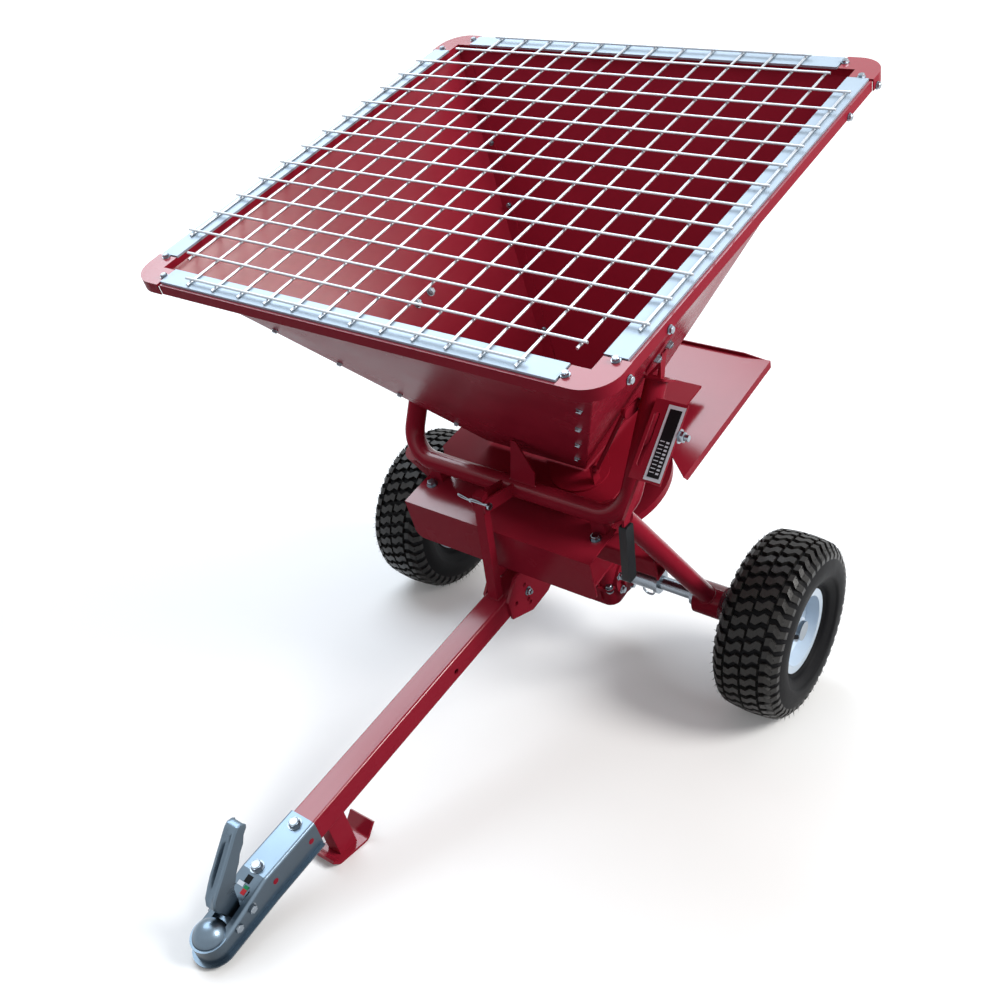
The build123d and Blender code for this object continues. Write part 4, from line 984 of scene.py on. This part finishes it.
# Hand lever of the coupling: pressed from one zinc plated sheet, with a long bead down its front,
# open at the rear, and a scalloped finger edge. Stations give its front, rear, half width and bead.
lever_sheet = 2.5
lever_stations = (
    (818, 2, 796, 2, 11.0, 0.0),
    (834, 50, 790, 50, 11.0, 0.0),
    (829, 64, 788, 56, 12.0, 3.0),
    (816, 79, 781, 66, 13.0, 7.0),
    (803, 92, 775, 78, 14.0, 8.0),
    (790, 104, 763, 91, 14.0, 8.0),
    (777, 117, 755, 104, 14.0, 8.0),
    (764, 129, 742, 116, 14.0, 7.0),
    (752, 141, 735, 129, 14.0, 4.0),
    (744, 148, 725, 138, 14.0, 0.0),
    (738, 151, 723, 143, 13.5, 0.0),
    (728, 149, 725, 146, 12.5, 0.0),
)
lever_points, lever_faces = [], []
for front_u, front_w, rear_u, rear_w, lever_half, bead in lever_stations:
    front, rear = Vector((front_u, front_w)), Vector((rear_u, rear_w))
    depth = (rear - front).length
    inward = (rear - front) / depth
    roof = min(bead + lever_sheet + 1.0, depth - 0.5)
    inner = lever_half - lever_sheet
    corner = min(lever_sheet, depth / 3)
    section = (
        (-lever_half, corner),
        (-inner, 0.0),
        (-0.55 * lever_half, 0.2),
        (-0.35 * lever_half, bead * 0.85),
        (0.0, bead),
        (0.35 * lever_half, bead * 0.85),
        (0.55 * lever_half, 0.2),
        (inner, 0.0),
        (lever_half, corner),
        (lever_half, depth),
        (inner, depth),
        (inner, roof),
        (-inner, roof),
        (-inner, depth),
        (-lever_half, depth),
    )
    for x, back in section:
        place = front + inward * back
        lever_points.append(bar_spot(place.x, x, place.y))
ring = len(section)
for station in range(len(lever_stations) - 1):
    for k in range(ring):
        here, after = station * ring + k, station * ring + (k + 1) % ring
        lever_faces.append((here, after, after + ring, here + ring))
last = len(lever_points) - ring
lever_faces.append(tuple(range(ring)))
lever_faces.append(tuple(range(last, last + ring)))
pressing = add_piece(
    "coupling_lever_pressing", lever_points, lever_faces, "chassis", "zinc", pressed_zinc
)
outward_faces(pressing)
pressing.data.shade_smooth()
pressing.data.set_sharp_from_angle(angle=math.radians(38))
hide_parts("coupling_lever")


def add_plate(name, corners, lift, thick, slot, material):
    """A thin plate with these corners, raised along lift by its thickness in millimetres."""
    count = len(corners)
    raised = [corner + lift * (thick / 1000.0) for corner in corners]
    sides = [(k, (k + 1) % count, count + (k + 1) % count, count + k) for k in range(count)]
    faces = [tuple(reversed(range(count))), tuple(range(count, 2 * count)), *sides]
    plate = add_piece(name, [*corners, *raised], faces, "chassis", slot, material)
    outward_faces(plate)


def print_material(name, colour):
    """A printed colour, the same all over."""
    material = finish_material(
        name,
        dark=colour,
        light=colour,
        relief_scale=500.0,
        relief_height=0.00002,
        shiny=0.35,
        dull=0.45,
        Specular_IOR_Level=0.1,
    )
    ink = material.node_tree.nodes["Principled BSDF"].inputs["Base Color"]
    material.node_tree.nodes.remove(ink.links[0].from_node)
    ink.default_value = (*colour, 1.0)
    return material


black_print = print_material("black print", (0.010, 0.011, 0.013))
white_print = print_material("white print", (0.64, 0.70, 0.77))
green_print = print_material("green wear mark", (0.02, 0.22, 0.09))
red_print = print_material("red wear mark", (0.45, 0.03, 0.04))
slope_start = 745.0
slope_length = 77.0
slope_low = 12.0
slope_drop = (shell_half - slope_low) / slope_length
mark_thick = 0.6
slope_up = way(0, math.sin(bar_rise) - slope_drop, math.cos(bar_rise)).normalized()


def slope_patch(name, ahead, x, length, width, lift, slot, material):
    """A thin mark on the coupling's sloping step, lifted off it."""
    corners = []
    for end, edge in ((0, -1), (1, -1), (1, 1), (0, 1)):
        place = ahead + end * length
        up = shell_half - (place - slope_start) * slope_drop
        corners.append(bar_spot(place, x + edge * width / 2, up + lift))
    add_plate(name, corners, slope_up, mark_thick, slot, material)


slope_patch("wear_tongue", 771, 0, 20, 30, 0.1, "zinc", pressed_zinc)
slope_patch("wear_window", 752, 1, 13, 12, 0.1, "grip", black_print)
slope_patch("wear_label", 766, -7, 7, 13, 0.8, "rim_steel", white_print)
slope_patch("wear_mark_green", 768, 7, 6, 9, 0.8, "grip", green_print)
slope_patch("wear_mark_red", 774, 7, 9, 9, 0.8, "red_paint", red_print)

# Controls: red slotted scale plate on the right upright with a printed scale, a red flat bar lever
# on a bolted pivot with a black moulded grip, and the stop below the plate with its bolt.
coat_nodes(red_paint, "scale_plate", "shutter_lever")
coat_nodes(grip_plastic, "lever_grip")
plate_slope = math.radians(34)
plate_top_y = -69.3
plate_top_z = 599.5
plate_thick = 3.0
print_thick = 0.4
plate_up = way(0, -math.sin(plate_slope), math.cos(plate_slope))


def plate_spot(x, down, off=0.0):
    """A place on the scale plate's face: across, down its slope and off the face."""
    rise = off + plate_thick
    y = plate_top_y - down * math.cos(plate_slope) - rise * math.sin(plate_slope)
    return spot(x, y, plate_top_z - down * math.sin(plate_slope) + rise * math.cos(plate_slope))


def scale_patch(name, left, right, top, bottom, off, slot, material):
    """A printed field on the scale plate, lifted off it."""
    corners = [plate_spot(left, top, off), plate_spot(right, top, off)]
    corners += [plate_spot(right, bottom, off), plate_spot(left, bottom, off)]
    add_plate(name, corners, plate_up, print_thick, slot, material)


scale_patch("scale_frame", 308, 341, 6, 142, 0.1, "rim_steel", white_print)
scale_patch("scale_field", 313, 336, 13, 136, 0.5, "grip", black_print)
first_tick = 70
tick_step = 7
tick_points, tick_faces = [], []
for step in range(9):
    down = first_tick + tick_step * step
    for left, right, tall in ((315, 324, 1.6), (327, 333, 3.4)):
        first = len(tick_points)
        for x, drop in ((left, 0), (right, 0), (right, tall), (left, tall)):
            tick_points.append(plate_spot(x, down + drop, 1.0))
        tick_faces.append((first + 3, first + 2, first + 1, first))
add_piece("scale_ticks", tick_points, tick_faces, "chassis", "rim_steel", white_print)
stop_outline = ((324, 44), (341, 44), (341, 62), (324, 62))
stop_corners = [plate_spot(x, down, -plate_thick) for x, down in stop_outline]
stop_thick = 16
add_plate("scale_stop", stop_corners, -plate_up, stop_thick, "red_paint", red_paint)
stop_bolt = plate_spot(341.1, 53, -11)
lever_pivot = spot(290.6, -62.4, 569.3)
add_bolts("scale_stop_bolt", [(stop_bolt, way(1, 0, 0))], 11, thread=9)
add_bolts("lever_bolts", [(lever_pivot, way(1, 0, 0))], 11, thread=4)

# Studio: a pale floor that whitens with distance, a large soft lamp above on the left, a smaller
# one behind on the right, a sky that is white to the eye and dimmer as light, and a camera at the
# photograph's angle.


def seen_directly(tree):
    """1 for rays that show a surface, straight, mirrored or through glass, and 0 for its light."""
    path = tree.nodes.new("ShaderNodeLightPath")
    seen = tree.nodes.new("ShaderNodeMath")
    seen_too = tree.nodes.new("ShaderNodeMath")
    seen.operation = "MAXIMUM"
    seen_too.operation = "MAXIMUM"
    wires = (
        (path.outputs["Is Camera Ray"], seen.inputs[0]),
        (path.outputs["Is Glossy Ray"], seen.inputs[1]),
        (seen.outputs[0], seen_too.inputs[0]),
        (path.outputs["Is Transmission Ray"], seen_too.inputs[1]),
    )
    link_all(tree, wires)
    return seen_too.outputs[0]


floor_material = finish_material(
    "pale floor",
    dark=(0.84, 0.84, 0.84),
    light=(0.86, 0.86, 0.86),
    relief_scale=20.0,
    relief_height=0.0,
    shiny=0.7,
    dull=0.8,
    Specular_IOR_Level=0.1,
)
floor_tree = floor_material.node_tree
floor_shader = floor_tree.nodes["Principled BSDF"]
floor_shader.inputs["Emission Color"].default_value = (1.0, 1.0, 1.0, 1.0)
floor_paint = floor_shader.inputs["Base Color"]
pale_colour = floor_paint.links[0].from_socket
floor_seen = seen_directly(floor_tree)
seen_end, bounce = add_mix(floor_tree, floor_seen, dark=(0.26, 0.26, 0.26))
far = floor_tree.nodes.new("ShaderNodeTexCoord")
away = floor_tree.nodes.new("ShaderNodeVectorMath")
away.operation = "LENGTH"
haze = floor_tree.nodes.new("ShaderNodeMapRange")
haze.inputs["From Min"].default_value = 1.5
haze.inputs["From Max"].default_value = 7.0
haze.inputs["To Min"].default_value = 0.1
haze.inputs["To Max"].default_value = 0.7
shine = floor_tree.nodes.new("ShaderNodeMath")
shine.operation = "MULTIPLY"
floor_wires = (
    (pale_colour, seen_end),
    (bounce, floor_paint),
    (far.outputs["Object"], away.inputs[0]),
    (away.outputs["Value"], haze.inputs["Value"]),
    (haze.outputs["Result"], shine.inputs[0]),
    (floor_seen, shine.inputs[1]),
    (shine.outputs[0], floor_shader.inputs["Emission Strength"]),
)
link_all(floor_tree, floor_wires)
floor_half = 60.0
floor_corners = [(-floor_half, -floor_half, 0), (floor_half, -floor_half, 0)]
floor_corners += [(floor_half, floor_half, 0), (-floor_half, floor_half, 0)]
floor_mesh = bpy.data.meshes.new("floor")
floor_mesh.from_pydata(floor_corners, [], [(0, 1, 2, 3)])
floor_mesh.materials.append(floor_material)
floor = bpy.data.objects.new("floor", floor_mesh)
bpy.context.scene.collection.objects.link(floor)

world = bpy.data.worlds.new("studio")
world.use_nodes = True
sky_tree = world.node_tree
sky = sky_tree.nodes["Background"]
direction = sky_tree.nodes.new("ShaderNodeTexCoord")
height = sky_tree.nodes.new("ShaderNodeSeparateXYZ")
gradient = sky_tree.nodes.new("ShaderNodeMapRange")
gradient.inputs["From Max"].default_value = 0.7
gradient.inputs["To Min"].default_value = 0.25
gradient.inputs["To Max"].default_value = 0.6
sky.inputs["Color"].default_value = (0.97, 0.985, 1.0, 1.0)
backdrop = sky_tree.nodes.new("ShaderNodeMix")
backdrop.inputs["B"].default_value = 1.0
sky_wires = (
    (direction.outputs["Generated"], height.inputs["Vector"]),
    (height.outputs["Z"], gradient.inputs["Value"]),
    (seen_directly(sky_tree), backdrop.inputs["Factor"]),
    (gradient.outputs["Result"], backdrop.inputs["A"]),
    (backdrop.outputs["Result"], sky.inputs["Strength"]),
)
link_all(sky_tree, sky_wires)
bpy.context.scene.world = world
lamps = (
    ("soft_sky", (-2.3, 0.8, 4.6), 4.6, 210.0, (0.82, 0.91, 1.0)),
    ("soft_right", (3.5, 1.0, 3.3), 2.0, 170.0, (1.0, 0.98, 0.95)),
)
lamp_target = Vector((0.0, 0.1, 0.5))
for name, place, size, power, colour in lamps:
    lamp = bpy.data.lights.new(name, "AREA")
    lamp.shape = "DISK"
    lamp.size = size
    lamp.energy = power
    lamp.color = colour
    lamp_object = bpy.data.objects.new(name, lamp)
    lamp_object.location = place
    aim = lamp_target - Vector(place)
    lamp_object.rotation_euler = aim.to_track_quat("-Z", "Y").to_euler()
    bpy.context.scene.collection.objects.link(lamp_object)

fitted_lens = 43.135
wider_view = 0.95
camera_turn = (63.1355, 0.8694, 36.3456)
camera_data = bpy.data.cameras.new("camera")
camera_data.sensor_width = 36.0
camera_data.lens = fitted_lens * wider_view
camera_data.shift_x = -0.012
camera_data.shift_y = -0.012
camera = bpy.data.objects.new("camera", camera_data)
camera.location = (1.1673, -1.3977, 1.4868)
camera.rotation_euler = [math.radians(angle) for angle in camera_turn]
bpy.context.scene.collection.objects.link(camera)
bpy.context.scene.camera = camera
bpy.context.scene.view_settings.view_transform = "Standard"
